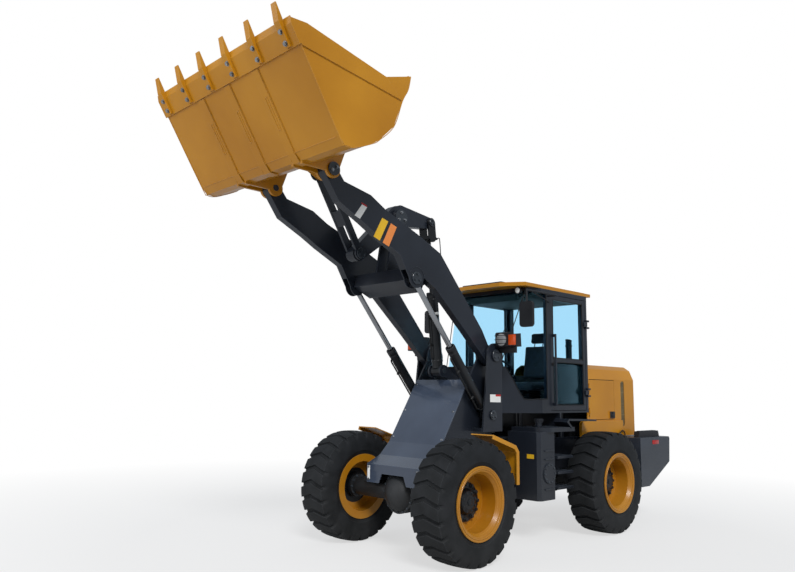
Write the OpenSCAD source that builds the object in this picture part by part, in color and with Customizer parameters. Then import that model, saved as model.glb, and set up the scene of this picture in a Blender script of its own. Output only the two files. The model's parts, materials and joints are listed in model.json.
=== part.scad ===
// Articulated wheel loader with a raised bucket on a Z-bar linkage.
// X points forward, Y to the left, Z up; heights inside the modules count from the axle line.

/* [Wheels] */
// Distance between the two axle lines
wheelbase = 2900; // [2800:10:3100]
// Distance between the tyre mid planes of an axle
tread = 1850; // [1830:5:1950]
// Tyre radius over the lug tips
tyre_r = 660; // [640:5:680]
// Tyre width
tyre_w = 445; // [420:5:460]
// Rim radius at the flange
rim_r = 386; // [370:2:400]
// Rim radius under the tyre bead
rim_seat = 318; // [310:1:325]
// Hub barrel radius
hub_r = 145; // [130:1:150]
// Axle spindle diameter
spindle_d = 100; // [90:1:110]
// Distance of the wheel disc inside the tyre's mid plane
dish = 45; // [0:5:60]
// Number of tread lugs round a tyre
lugs = 24; // [20:1:26]
// Depth of the tread between the lugs
lug_depth = 32; // [20:1:40]

/* [Frames] */
// Half distance between the inner faces of the rear frame plates
rear_half = 360; // [340:5:370]
// Thickness of the frame plates
plate = 25; // [20:1:30]
// Half distance between the inner faces of the inner tower plates
front_half = 405; // [400:1:410]
// Distance from the outer tower plate to the boom mid plane
tower_gap = 70; // [68:1:75]
// Diameter of the steering pivot pins
pivot_d = 80; // [70:1:90]
// End radius of the steering pivot lugs
lug_r = 110; // [100:1:120]

/* [Boom] */
// Thickness of a boom arm
arm_t = 96; // [92:1:98]
// Diameter of the boom pivot pins
boom_pin_d = 90; // [80:1:96]
// Diameter of the bucket hinge pins
hinge_pin_d = 70; // [60:1:76]
// Outer diameter of a lift cylinder barrel
lift_d = 112; // [100:1:114]
// Diameter of a lift cylinder rod
lift_rod_d = 62; // [50:1:70]
// Outer diameter of the tilt cylinder barrel
tilt_d = 132; // [120:1:136]
// Diameter of the tilt cylinder rod
tilt_rod_d = 66; // [56:1:72]
// Thickness of the rocker and of the bucket lug
rocker_t = 104; // [96:2:108]

/* [Bucket] */
// Width of the bucket over its side plates
bucket_w = 2480; // [2400:10:2560]
// Thickness of the bucket sheet
sheet_t = 20; // [14:1:24]
// Angle of the bucket floor above the ground plane
bucket_angle = 57.3; // [50:0.1:60]
// Number of teeth on the cutting edge
teeth = 6; // [5:1:8]

/* [Cab] */
// Half width of the cab
cab_half = 690; // [670:5:700]
// Wall thickness of the cab
cab_wall = 50; // [40:1:60]
// Thickness of the glass
glass_t = 8; // [6:1:10]

/* [Body] */
// Half width of the hood
hood_half = 640; // [630:2:650]
// Thickness of the hood sheet
hood_t = 12; // [8:1:16]
// Half width of the counterweight
weight_half = 1000; // [950:5:1050]
// Diameter of the tow pin bore
tow_d = 50; // [40:1:60]

/* [Hidden] */
$fn = 40;
fit = 0.3;
axle_x = wheelbase / 2;
// Pin centres in the X, Z plane, heights from the axle line
boom_o = [500, 1608];
hinge_e = [3114, 3368];
rocker_b = [1674, 3208];
tilt_c = [1110, 3248];
link_d = [2280, 2688];
tilt_a = [888, 1414];
lift_g = [560, 888];
lift_h = [1849, 2408];
// Bucket lug pin and tooth tip in the bucket's own frame, hinge at zero, floor level
lug_own = [-30, 350];
tip_own = [1560, -352];
floor_own = -348;
link_f = hinge_e + turn(lug_own, bucket_angle);
tip_x = hinge_e[0] + turn(tip_own, bucket_angle)[0];
weight_x = -3250;
x_mid = (tip_x + weight_x) / 2;
// Cross sections in Y
arm_y = front_half + plate + tower_gap;
tower_y = arm_y + tower_gap;
ear_t = 30;
ear_gap = 10;
lug_up = 530;
lug_dn = -120;
lug_t = 44;
lug_gap = 8;
rear_lug_t = 30;
steer_z = 250;
steer_pin_d = 40;
steer_base = [-560, 170];
steer_eye = [270, 250];
slate = [0.17, 0.19, 0.23];
yellow = [0.82, 0.55, 0.13];
black = [0.07, 0.07, 0.08];

function turn(p, a) = [p[0] * cos(a) - p[1] * sin(a), p[0] * sin(a) + p[1] * cos(a)];
function unit(v) = v / norm(v);
function side(a, b) = [-(unit(b - a))[1], (unit(b - a))[0]];
function back(p) = [for (i = [len(p) - 1:-1:0]) p[i]];
function beside(p, t) = [for (i = [0:len(p) - 1])
  let (m = i > 0 ? side(p[i - 1], p[i]) : side(p[0], p[1]),
    n = i < len(p) - 1 ? side(p[i], p[i + 1]) : m)
  p[i] + t * (m + n) / (1 + m * n)];
function ang(a, b) = atan2(b[1] - a[1], b[0] - a[0]);

module place() translate([-x_mid, 0, tyre_r]) children();
module both() {
  children();
  mirror([0, 1, 0]) children();
}
// Extrudes a drawing of the X, Z plane from one Y to another
module slab(y0, y1) translate([0, y1, 0]) rotate([90, 0, 0]) linear_extrude(height = y1 - y0) children();
module rod_y(p, y0, y1, d) translate([p[0], y0, p[1]]) rotate([-90, 0, 0]) cylinder(d = d, h = y1 - y0);
module strip(p, t) polygon(concat(p, back(beside(p, t))));
module disc(p, r) translate(p) circle(r = r);
module bar(p, q, r0, r1) {
  n = side(p, q);
  disc(p, r0);
  disc(q, r1);
  polygon([p + n * r0, p - n * r0, q - n * r1, q + n * r1]);
}
module box(a, b) translate(a) cube(b - a);
// Cylinder along the line from p to q in a plane of constant Y
module along(p, q, y, s0, s1, d) translate([p[0], y, p[1]]) rotate([0, 90 - ang(p, q), 0])
  translate([0, 0, s0]) cylinder(d = d, h = s1 - s0);

// Tyre: four stations to a lug, each with the seven points of the section from bead to bead
bead = tyre_w * 0.42;
shoulder = tyre_w * 0.43;
pitch = 360 / lugs;
lug_top = 0.34 * pitch;
lug_at = [-lug_top, lug_top, 0.38 * pitch, 0.62 * pitch];
chevron = 5.3;
tyre_y = [-bead + 3, -tyre_w / 2, -shoulder, 0, shoulder, tyre_w / 2, bead - 3];
function tyre_radius(k, deep) =
  [rim_seat + fit, rim_r + 100, tyre_r - 12 - deep, tyre_r - 0.8 * deep][k] / cos(lug_top);
function tyre_point(i, j) =
  let (r = tyre_radius(min(j, 6 - j), i % 4 < 2 ? 0 : lug_depth),
    swept = chevron * min(abs(tyre_y[j]) / shoulder, 1),
    a = floor(i / 4) * pitch + lug_at[i % 4] - swept - 90)
  [r * cos(a), tyre_y[j], r * sin(a)];
module tyre(x, y) translate([x, y, 0]) polyhedron(
  points = [for (i = [0:4 * lugs - 1]) for (j = [0:6]) tyre_point(i, j)],
  faces = [for (i = [0:4 * lugs - 1]) for (j = [0:6])
    let (n = (i + 1) % (4 * lugs), m = (j + 1) % 7)
    each [[i * 7 + j, n * 7 + j, n * 7 + m], [i * 7 + j, n * 7 + m, i * 7 + m]]]);

// Rim well with its flanges, revolved with the dished disc, and the hub with its domed cover
module rim(x, y, s) translate([x, y, 0]) rotate([-90 * s, 0, 0]) {
  rotate_extrude($fn = 48) polygon([[rim_r, bead + 29], [rim_r, bead + 17], [rim_r - 30, bead + 16],
    [rim_seat, bead], [rim_seat, -bead], [rim_r - 30, -bead - 16], [rim_r, -bead - 17], [rim_r, -bead - 29],
    [rim_seat - 20, -bead - 19], [rim_seat - 20, -dish - 4], [hub_r - 10, -dish], [hub_r - 10, 24 - dish],
    [rim_seat - 20, 30 - dish], [rim_seat - 16, bead - 20], [rim_seat + 14, bead + 21],
    [rim_r - 22, bead + 29]]);
  rotate_extrude() polygon([[spindle_d / 2 + fit, -hub_back], [hub_r, -hub_back], [hub_r, 20 - dish],
    [hub_r + 62, 20 - dish], [hub_r + 62, 44 - dish], [hub_r - 4, 48 - dish], [hub_r - 30, 92 - dish],
    [hub_r - 70, 106 - dish], [0, 106 - dish], [0, 60 - dish], [spindle_d / 2 + fit, 60 - dish]]);
}

hub_back = 100;
tube_end = tread / 2 - hub_back - 6;
spindle_end = tread / 2 + 45 - dish;
module axle(x) translate([x, 0, 0]) {
  rod_y([0, 0], -tube_end, tube_end, 216);
  both() rod_y([0, 0], tube_end - 24, tube_end, 264);
  rod_y([0, 0], -spindle_end, spindle_end, spindle_d);
  both() box([-120, 400, 90], [120, 560, 140]);
}
// Differential: a round housing with a bolted cover ring and a coned pinion nose towards s
diff_r = 232;
module differential(x, s) translate([x, 0, 0]) rotate([0, 90 * s, 0]) {
  sphere(r = diff_r);
  translate([0, 0, -102]) cylinder(r = diff_r, h = 24);
  translate([0, 0, 150]) cylinder(r1 = 172, r2 = 88, h = 260);
  translate([0, 0, 410]) cylinder(r = 96, h = nose - 410);
}
// Drive shaft on the axle line, which passes the frame plates through round holes
nose = 440;
shaft_d = 64;
joint_r = 40;
gearbox = [-900, -640];
module shaft_x(x0, x1, d) translate([x0, 0, 0]) rotate([0, 90, 0]) cylinder(d = d, h = x1 - x0);

module wheel_front_left_tyre() place() color(black) tyre(axle_x, tread / 2);
module wheel_front_left_rim() place() color(yellow) rim(axle_x, tread / 2, 1);
module wheel_front_right_tyre() place() color(black) tyre(axle_x, -tread / 2);
module wheel_front_right_rim() place() color(yellow) rim(axle_x, -tread / 2, -1);
module wheel_rear_left_tyre() place() color(black) tyre(-axle_x, tread / 2);
module wheel_rear_left_rim() place() color(yellow) rim(-axle_x, tread / 2, 1);
module wheel_rear_right_tyre() place() color(black) tyre(-axle_x, -tread / 2);
module wheel_rear_right_rim() place() color(yellow) rim(-axle_x, -tread / 2, -1);

// Rear body
rear_deck_z = 560;
frame_end = -2640;
module lug_2d(x1, w) {
  difference() {
    union() {
      circle(r = lug_r);
      polygon([[0, lug_r], [0, -lug_r], [x1, -w], [x1, w]]);
    }
    circle(d = pivot_d + 2 * fit);
  }
}
module rear_frame() place() color(slate) {
  both() slab(rear_half, rear_half + plate) polygon([[-140, rear_deck_z + 40], [-140, -180], [-700, -180],
    [-950, 141], [-1950, 141], [-2100, -60], [frame_end, -60], [frame_end, rear_deck_z], [-1100, rear_deck_z],
    [-1100, rear_deck_z + 40]]);
  difference() {
    box([-170, -rear_half, -180], [-140, rear_half, rear_deck_z + 40]);
    both() box([-171, 55, steer_z - 90], [-139, rear_half, steer_z + 90]);
    shaft_x(-171, -139, shaft_d + 90);
  }
  box([-980, -rear_half, 150], [-950, rear_half, 500]);
  box([frame_end, -rear_half, -60], [frame_end + 30, rear_half, rear_deck_z]);
  box([-600, -rear_half, -180], [-170, rear_half, -150]);
  for (z = [lug_up, lug_dn]) for (s = [lug_t / 2 + lug_gap, -lug_t / 2 - lug_gap - rear_lug_t])
    translate([0, 0, z + s]) linear_extrude(height = rear_lug_t) lug_2d(-140, rear_half);
  both() translate([steer_base[0], steer_base[1], 0]) {
    for (z = [steer_z - 75, steer_z + 50]) translate([-60, -50, z])
      cube([120, rear_half - steer_base[1] + 50, 25]);
    translate([0, 0, steer_z - 75]) cylinder(d = steer_pin_d, h = 150);
  }
  both() for (x = [-1640, -2300])
    box([x, rear_half + plate, rear_deck_z - 40], [x + 80, hood_half, rear_deck_z]);
}

module rear_axle() place() color(slate) {
  axle(-axle_x);
  differential(-axle_x, 1);
  shaft_x(-axle_x + nose, gearbox[0], shaft_d);
  both() box([-axle_x - 90, rear_half - 60, 100], [-axle_x + 90, rear_half + plate + 20, 141]);
}

weight_top = 545;
module weight_profile() polygon([[frame_end, weight_top], [weight_x + 25, weight_top],
  [weight_x, weight_top - 25], [weight_x + 30, 175], [frame_end, -105]]);
module counterweight() place() color(slate) difference() {
  union() {
    slab(-weight_half, weight_half) weight_profile();
    both() slab(rear_half + plate + 10, weight_half)
      polygon([[frame_end, weight_top], [-2330, weight_top], [-2330, -140], [-2567, -140],
        [frame_end, -105]]);
  }
  box([weight_x - 1, -90, 270], [weight_x + 170, 90, 350]);
  translate([weight_x + 90, 0, 0]) cylinder(d = tow_d, h = 600);
}

// Tanks under the deck, their plan with the outer corners cut
tank_x = -20;
tank_len = 370;
tank_out = 860;
tank_top = 680;
tank_cut = 40;
cap_at = [tank_x - 310, 640];
module tank_body() translate([tank_x - tank_len, 0, -145]) linear_extrude(height = tank_top + 145)
  polygon([[0, rear_half + plate], [tank_len, rear_half + plate], [tank_len, tank_out - tank_cut],
    [tank_len - tank_cut, tank_out], [tank_cut, tank_out], [0, tank_out - tank_cut]]);
module filler(d) translate([cap_at[0], cap_at[1], tank_top]) {
  cylinder(d = d, h = 130);
  translate([0, 0, 110]) cylinder(d = d + 24, h = 45);
}
module fuel_tank() place() color(slate) {
  tank_body();
  translate([tank_x - 205, tank_out, 176]) rotate([-90, 0, 0]) cylinder(r = 125, h = 14);
  for (z = [-20, 342, 445]) box([tank_x - 300, tank_out, z], [tank_x - 110, tank_out + 14, z + 16]);
  filler(88);
}
module hydraulic_tank() place() color(slate) mirror([0, 1, 0]) {
  tank_body();
  filler(76);
}

// Deck: a lip plate over each tank, a raised platform ahead of the rear wheel and a wall under the cab
deck_top = tank_top + 53;
deck_back = -780;
deck_round = 160;
module deck_plan() {
  polygon([[deck_back, rear_half + plate], [tank_x - 80, rear_half + plate], [tank_x - 80, 890 - deck_round],
    [tank_x - 80 - deck_round, 890], [deck_back, 890]]);
  disc([tank_x - 80 - deck_round, 890 - deck_round], deck_round);
}
module deck() place() color(slate) {
  both() difference() {
    translate([0, 0, tank_top]) linear_extrude(height = deck_top - tank_top) deck_plan();
    translate([cap_at[0], cap_at[1], tank_top - 1]) cylinder(d = 96, h = 60);
  }
  both() slab(690, 900) strip([[-1310, 822], [-640, 838], [-590, 800], [-700, deck_top - 20]], -24);
  box([deck_back, -cab_half, deck_top - 1], [deck_back + 30, cab_half, cab_z]);
  box([deck_back, -rear_half - plate - 5, rear_deck_z + 40],
    [deck_back + 30, rear_half + plate + 5, deck_top]);
  for (p = [[-330, rear_deck_z + 40], [-1300, rear_deck_z]]) both()
    translate([p[0], rear_half - 20, p[1]]) cylinder(d = 80, h = cab_z - p[1]);
}

module steps() place() color(slate) both() {
  for (z = [-32, 158, 348]) difference() {
    box([-740, 560, z], [tank_x - tank_len, 880, z + 30]);
    for (y = [600, 700, 800]) box([-700, y, z + 20], [-430, y + 50, z + 31]);
  }
  slab(530, 560) polygon([[-400, tank_top], [-760, tank_top], [-740, -60], [-400, -60]]);
  box([-560, rear_half + plate, 300], [-500, 530, 360]);
}

// Side skirts under the hood, with a rounded corner in front
skirt = [-1300, -2440, 575, 785];
skirt_round = 60;
module rear_fenders() place() color(yellow) both() slab(hood_half, hood_half + 40) {
  polygon([[skirt[0], skirt[2]], [skirt[0], skirt[3] - skirt_round], [skirt[0] - skirt_round, skirt[3]],
    [skirt[1], skirt[3]], [skirt[1], skirt[2]]]);
  disc([skirt[0] - skirt_round, skirt[3] - skirt_round], skirt_round);
}

// Hood
hood_x0 = -1520;
pipe_at = [-1800, 180];
hood_x1 = -2860;
hood_top = 1580;
function hood_half_line(g) = [[hood_half - 150, hood_top - g], [hood_half - 60 - g / 2, 1520],
  [hood_half - g, 1380], [hood_half - g, rear_deck_z]];
module hood_2d(g) polygon(concat([for (p = back(hood_half_line(g))) [-p[0], p[1]]], hood_half_line(g)));
module hood_run(x0, x1, g) translate([x1, 0, 0]) rotate([90, 0, 90])
  linear_extrude(height = x0 - x1) hood_2d(g);
door_x0 = -1570;
door_x1 = -2270;
door_z0 = 800;
door_z1 = 1370;
// Tall round-ended air slot behind each door
slot_x = -2518;
slot_r = 56;
slot_z0 = 746;
slot_z1 = 1304;
module hood_sheet() difference() {
  hood_run(hood_x0, hood_x1, 0);
  translate([0, 0, -1]) hood_run(hood_x0 + 1, hood_x1 + hood_t, hood_t);
  both() box([door_x1, hood_half - 40, door_z0], [door_x0, hood_half + 10, door_z1]);
  both() slab(hood_half - 40, hood_half + 10) {
    for (z = [slot_z0, slot_z1]) disc([slot_x, z], slot_r);
    polygon([[slot_x - slot_r, slot_z0], [slot_x + slot_r, slot_z0], [slot_x + slot_r, slot_z1],
      [slot_x - slot_r, slot_z1]]);
  }
  box([hood_x1 - 1, -460, 660], [hood_x1 + 40, 460, 1380]);
  translate([pipe_at[0], pipe_at[1], hood_top - 40]) cylinder(d = 100, h = 60);
}
post_z = [door_z0 + 60, door_z1 - 170];
// Door hinge line, upright just ahead of the door's front edge
module hinge_post(z0, z1, d) translate([door_x0 + 14, hood_half + 14, z0]) cylinder(d = d, h = z1 - z0);
module hood() place() color(yellow) {
  hood_sheet();
  both() for (z = post_z) {
    hinge_post(z, z + 110, 10);
    for (d = [0, 85]) box([door_x0 + 2, hood_half, z + d], [door_x0 + 26, hood_half + 26, z + d + 25]);
  }
}
module hood_door(s) mirror([0, s, 0]) {
  box([door_x1 + 8, hood_half - hood_t, door_z0 + 8], [door_x0 - 8, hood_half, door_z1 - 8]);
  box([door_x1 + 12, hood_half, door_z0 + 14], [door_x1 + 160, hood_half + 12, door_z0 + 120]);
  for (z = post_z) difference() {
    union() {
      hinge_post(z + 30, z + 80, 24);
      box([door_x0 - 40, hood_half, z + 30], [door_x0 - 10, hood_half + 13, z + 80]);
      box([door_x0 - 12, hood_half + 5, z + 30], [door_x0 + 14, hood_half + 13, z + 80]);
    }
    hinge_post(z + 20, z + 90, 10 + 2 * fit);
  }
}
module hood_door_left() place() color(yellow) hood_door(0);
module hood_door_right() place() color(yellow) hood_door(1);
module rear_grille() place() color(black) {
  for (i = [0:11]) box([hood_x1 + 2, -452, 680 + i * 58], [hood_x1 + hood_t, 452, 706 + i * 58]);
  both() box([hood_x1 + hood_t, 420, 640], [hood_x1 + hood_t + 10, 490, 1400]);
  box([hood_x1 + hood_t, -15, 640], [hood_x1 + hood_t + 10, 15, 1400]);
  both() box([slot_x - slot_r - 24, hood_half - hood_t - 8, slot_z0 - slot_r - 12],
    [slot_x + slot_r + 24, hood_half - hood_t, slot_z1 + slot_r + 12]);
}
module engine() place() color(black) {
  box([-2380, -270, 330], [-1640, 270, 1250]);
  box([gearbox[0], -220, -90], [gearbox[1], 220, 540]);
  box([gearbox[0] + 80, -rear_half, 380], [gearbox[1] - 100, rear_half, 440]);
  shaft_x(gearbox[1], 0, shaft_d);
  shaft_x(-joint_r - 60, -joint_r - 40, 120);
  sphere(r = joint_r);
  both() box([-2300, 200, 240], [-2200, rear_half, 360]);
  both() box([-1800, 200, 240], [-1700, rear_half, 360]);
}
module radiator() place() color(black) {
  box([frame_end, -470, rear_deck_z], [frame_end + 160, 470, 1400]);
}
module exhaust() place() color(black) {
  translate([pipe_at[0], pipe_at[1], 1250]) difference() {
    cylinder(d = 90, h = 700);
    translate([0, 0, 400]) cylinder(d = 80, h = 301);
  }
}
module rear_lamps() place() color(black) both() slab(820, 900)
  polygon([[-2480, weight_top], [-2500, weight_top + 85], [-3090, weight_top + 85], [-3120, weight_top]]);

// Cab
cab_z = 908;
cab_top = 2530;
module cab_side(g) polygon([[-1470 + g, cab_z + g], [220 - g, cab_z + g], [220 - g, 1490],
  [-150 - g, cab_top - g], [-1470 + g, cab_top - g]]);
module cab_plan(g) polygon([[-1470 + g, -cab_half + g], [-350 - g * 0.2, -cab_half + g],
  [220 - g, -450 + g * 0.8], [220 - g, 450 - g * 0.8],
  [-350 - g * 0.2, cab_half - g], [-1470 + g, cab_half - g]]);
module cab_solid(g) intersection() {
  slab(-cab_half, cab_half) cab_side(g);
  translate([0, 0, cab_z]) linear_extrude(height = cab_top - cab_z) cab_plan(g);
}
front_cut = [[-470, 1085], [-98, 1085], [145, 1490], [400, 1490], [400, cab_top - 50], [-470, cab_top - 50]];
door_a = -1420;
door_b = -560;
door_lo = cab_z + 25;
door_hi = cab_top - 60;
hinge_at = [door_a - 6, cab_half + 20];
hinge_z = [door_lo + 217, door_hi - 370];
module hinge_line(z0, z1, d) translate([hinge_at[0], hinge_at[1], z0]) cylinder(d = d, h = z1 - z0);
module cab_shell() place() color(slate) {
  cab_walls();
  for (z = hinge_z) {
    hinge_line(z - 30, z + 90, 14);
    for (d = [-30, 65]) box([door_a - 60, cab_half, z + d], [door_a + 2, cab_half + 34, z + d + 25]);
  }
}
module cab_walls() difference() {
  cab_solid(0);
  cab_solid(cab_wall);
  slab(-cab_half - 1, cab_half + 1) polygon(front_cut);
  box([door_a, 0, door_lo], [door_b, cab_half + 1, door_hi]);
  box([door_a + 40, -cab_half - 1, 1130], [door_b - 20, 0, door_hi - 40]);
  box([-1471, -cab_half + 110, 1300], [-1400, cab_half - 110, door_hi - 40]);
}
// Roof: a plate that overhangs the windscreen with cut corners, a lower crown inside its edge
roof_t = 44;
module roof_plan(g) polygon([[-1580 + g, -cab_half + g], [-30 - g, -cab_half + g], [130 - g, -380 + g / 2],
  [130 - g, 380 - g / 2], [-30 - g, cab_half - g], [-1580 + g, cab_half - g]]);
module cab_roof() place() color(yellow) translate([0, 0, cab_top]) {
  linear_extrude(height = roof_t) roof_plan(0);
  translate([0, 0, roof_t]) linear_extrude(height = 18) roof_plan(60);
}
module cab_glass() place() color([0.5, 0.6, 0.62]) {
  difference() {
    intersection() {
      cab_solid(18);
      slab(-cab_half, cab_half) polygon(front_cut);
    }
    cab_solid(18 + glass_t);
  }
  box([door_a + 40, -cab_half + 18, 1130], [door_b - 20, -cab_half + 18 + glass_t, door_hi - 40]);
  box([-1470 + 18, -cab_half + 110, 1300], [-1470 + 18 + glass_t, cab_half - 110, door_hi - 40]);
}
door_mid = door_hi - 870;
module cab_door() place() color(slate) {
  difference() {
    box([door_a + 8, cab_half - 45, door_lo + 8], [door_b - 8, cab_half - 2, door_hi - 8]);
    box([door_a + 68, cab_half - 50, door_lo + 78], [door_b - 68, cab_half + 1, door_mid - 30]);
    box([door_a + 68, cab_half - 50, door_mid + 30], [door_b - 68, cab_half + 1, door_hi - 68]);
  }
  for (z = hinge_z) difference() {
    union() {
      hinge_line(z + 1, z + 59, 28);
      box([hinge_at[0], cab_half + 7, z + 1], [door_a + 60, cab_half + 30, z + 59]);
      box([door_a + 10, cab_half - 2, z + 1], [door_a + 60, cab_half + 7, z + 59]);
    }
    hinge_line(z, z + 60, 14 + 2 * fit);
  }
  for (z = [door_lo + 67, door_hi - 570])
    box([door_b - 60, cab_half - 2, z], [door_b - 30, cab_half + 45, z + 40]);
  translate([door_b - 45, cab_half + 45, door_lo + 67]) cylinder(d = 30, h = door_hi - door_lo - 597);
}
module door_glass() place() color([0.5, 0.6, 0.62]) {
  box([door_a + 68, cab_half - 28, door_lo + 78], [door_b - 68, cab_half - 28 + glass_t, door_mid - 30]);
  box([door_a + 68, cab_half - 28, door_mid + 30], [door_b - 68, cab_half - 28 + glass_t, door_hi - 68]);
}
module seat() place() color(black) {
  box([-1170, -150, cab_z + cab_wall], [-830, 150, 1200]);
  box([-1250, -250, 1200], [-750, 250, 1320]);
  slab(-230, 230) polygon([[-1120, 1320], [-1250, 1320], [-1360, 2030], [-1260, 2050]]);
}
module controls() place() color(black) {
  slab(-60, 60) polygon([[-220, cab_z + cab_wall], [-80, cab_z + cab_wall], [-230, 1500], [-330, 1460]]);
  translate([-330, 0, 1520]) rotate([0, -30, 0]) {
    rotate_extrude() translate([190, 0]) circle(d = 32, $fn = 16);
    translate([0, 0, -60]) cylinder(d = 70, h = 70);
    for (a = [30, 150, 270]) rotate([0, 0, a]) translate([0, -15, -8]) cube([190, 30, 14]);
  }
  box([-1150, -520, cab_z + cab_wall], [-650, -300, 1380]);
}
// Mirror head with rounded corners on a bent tube and a thin stay
mirror_at = [150, 820, cab_top - 395];
mirror_size = [200, 320];
mirror_round = 45;
module rounded(w, h, r) {
  square([w - 2 * r, h], center = true);
  square([w, h - 2 * r], center = true);
  for (x = [r - w / 2, w / 2 - r]) for (y = [r - h / 2, h / 2 - r]) disc([x, y], r);
}
module tube(a, b, d) {
  v = b - a;
  translate(a) rotate([0, acos(v[2] / norm(v)), atan2(v[1], v[0])]) cylinder(d = d, h = norm(v));
  translate(b) sphere(d = d);
}
module mirrors() place() color(black) both() {
  arm_z = cab_top - 90;
  translate(mirror_at + [-20, 0, 0]) rotate([90, 0, 90]) linear_extrude(height = 40)
    rounded(mirror_size[0], mirror_size[1], mirror_round);
  tube([-510, cab_half, arm_z], [-510, mirror_at[1], arm_z], 26);
  tube([-510, mirror_at[1], arm_z], [mirror_at[0], mirror_at[1], arm_z], 26);
  tube([mirror_at[0], mirror_at[1], arm_z], [mirror_at[0], mirror_at[1], mirror_at[2] + 140], 26);
  tube([-510, cab_half, arm_z - 80], [-510, cab_half + 24, arm_z - 80], 16);
  tube([-510, cab_half + 24, arm_z - 80], [60, mirror_at[1], arm_z - 2], 16);
}
// Work lamps: revolved bells under the roof's front edge, boxes on its rear edge, a visor strip on top
module work_lamp() rotate([0, 90, 0]) rotate_extrude()
  polygon([[0, 0], [26, 0], [42, 34], [44, 72], [38, 72], [36, 66], [0, 66]]);
module roof_lamps() place() color(black) {
  both() translate([-98, 550, cab_top - 52]) {
    work_lamp();
    box([22, -14, 30], [50, 14, 52]);
  }
  both() box([-1630, 330, cab_top - 5], [-1580, 470, cab_top + 40]);
  box([-60, -330, cab_top + roof_t + 18], [30, 330, cab_top + roof_t + 38]);
}

module pivot_pins() place() color(black) {
  for (z = [lug_up, lug_dn]) {
    translate([0, 0, z - lug_t / 2 - lug_gap - rear_lug_t - 10])
      cylinder(d = pivot_d, h = lug_t + 2 * (lug_gap + rear_lug_t + 10));
    translate([0, 0, z + lug_t / 2 + lug_gap + rear_lug_t]) cylinder(d = pivot_d + 50, h = 14);
  }
}

// Front body
module tower_bore(r) disc(boom_o, r);
tower_lo = tank_top + 15;
cover_line = [[1640, 95], [1640, 300], [1440, 389], [1285, 543], [807, 1301]];
module front_frame() place() color(slate) {
  both() slab(front_half, front_half + plate) difference() {
    union() {
      disc(boom_o, 150);
      polygon([[370, 1580], [370, -150], [900, -150], [1150, 141], [1640, 141], [1640, 300], [1440, 389],
        [1285, 543], [807, 1301], [640, 1570]]);
    }
    disc(boom_o, boom_pin_d / 2 + fit);
    disc(lift_g, 35 + fit);
  }
  both() slab(tower_y, tower_y + plate) difference() {
    union() {
      disc(boom_o, 150);
      polygon([[370, 1580], [370, tower_lo], [740, tower_lo], [640, 1570]]);
    }
    disc(boom_o, boom_pin_d / 2 + fit);
    disc(lift_g, 35 + fit);
  }
  both() box([370, front_half + plate, tower_lo], [740, tower_y, tower_lo + 40]);
  both() box([370, front_half + plate, tower_lo + 60], [395, tower_y, 1350]);
  difference() {
    box([370, -front_half, -150], [400, front_half, 700]);
    shaft_x(369, 401, shaft_d + 90);
  }
  box([520, -front_half, 1180], [700, front_half, 1290]);
  box([900, -front_half, 141], [930, front_half, 500]);
  both() slab(78, 103) difference() {
    union() {
      disc(tilt_a, 75);
      polygon([[560, 1290], [700, 1290], [700, 1200], [790, 1200], [790, 1312], [850, 1330], [963, 1414],
        [840, 1470]]);
    }
    disc(tilt_a, 30 + fit);
  }
  for (z = [lug_up, lug_dn]) translate([0, 0, z - lug_t / 2]) linear_extrude(height = lug_t) lug_2d(370, 330);
  both() for (z = [steer_z - 75, steer_z + 50])
    translate([steer_eye[0], steer_eye[1], z]) difference() {
      union() {
        cylinder(r = 50, h = 25);
        translate([0, -50, 0]) cube([370 - steer_eye[0], 100, 25]);
      }
      translate([0, 0, -1]) cylinder(d = 40, h = 27);
    }
}
module front_cover() place() color(slate) difference() {
  slab(-front_half - plate, front_half + plate) strip(cover_line, -12);
  translate([1600, 0, 0]) rotate([90, 0, 90]) linear_extrude(height = 100)
    polygon([[-270, 0], [-180, 205], [180, 205], [270, 0]]);
}
module front_axle() place() color(slate) {
  axle(axle_x);
  differential(axle_x, -1);
  shaft_x(joint_r + 6, axle_x - nose, shaft_d);
  shaft_x(joint_r + 40, joint_r + 60, 120);
  both() box([axle_x - 90, front_half - 60, 100], [axle_x + 90, front_half + plate, 141]);
}
// Front fenders: a bent plate with a folded outer lip on a bracket from the side plate
fender_line = [[735, 140], [735, 500], [790, 572], [1195, 700]];
fender_y = [790, 1110];
module front_fenders() place() color(yellow) both() {
  slab(fender_y[0], fender_y[1]) strip(fender_line, -12);
  slab(fender_y[1] - 12, fender_y[1]) strip(fender_line, -45);
  box([690, front_half + plate, 300], [735, fender_y[0] + 110, 360]);
}
// Lamp cluster on a bracket outside each tower: a square head lamp and a smaller turn lamp beside it
module head_lamps() place() color(black) both() {
  lamp_y = tower_y + plate + 10;
  box([395, tower_y + plate, 1640], [435, lamp_y + 240, 1720]);
  slab(lamp_y, lamp_y + 190) polygon([[380, 1740], [405, 1705], [490, 1705], [512, 1720], [512, 1875],
    [490, 1890], [410, 1890], [380, 1850]]);
  slab(lamp_y + 190, lamp_y + 310) polygon([[400, 1712], [498, 1712], [505, 1720], [505, 1860], [412, 1872]]);
}
module boom_pins() place() color(black) {
  both() rod_y(boom_o, front_half - 6, tower_y + plate + 14, boom_pin_d);
  both() rod_y(lift_g, front_half - 6, tower_y + plate + 10, 70);
}

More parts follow.
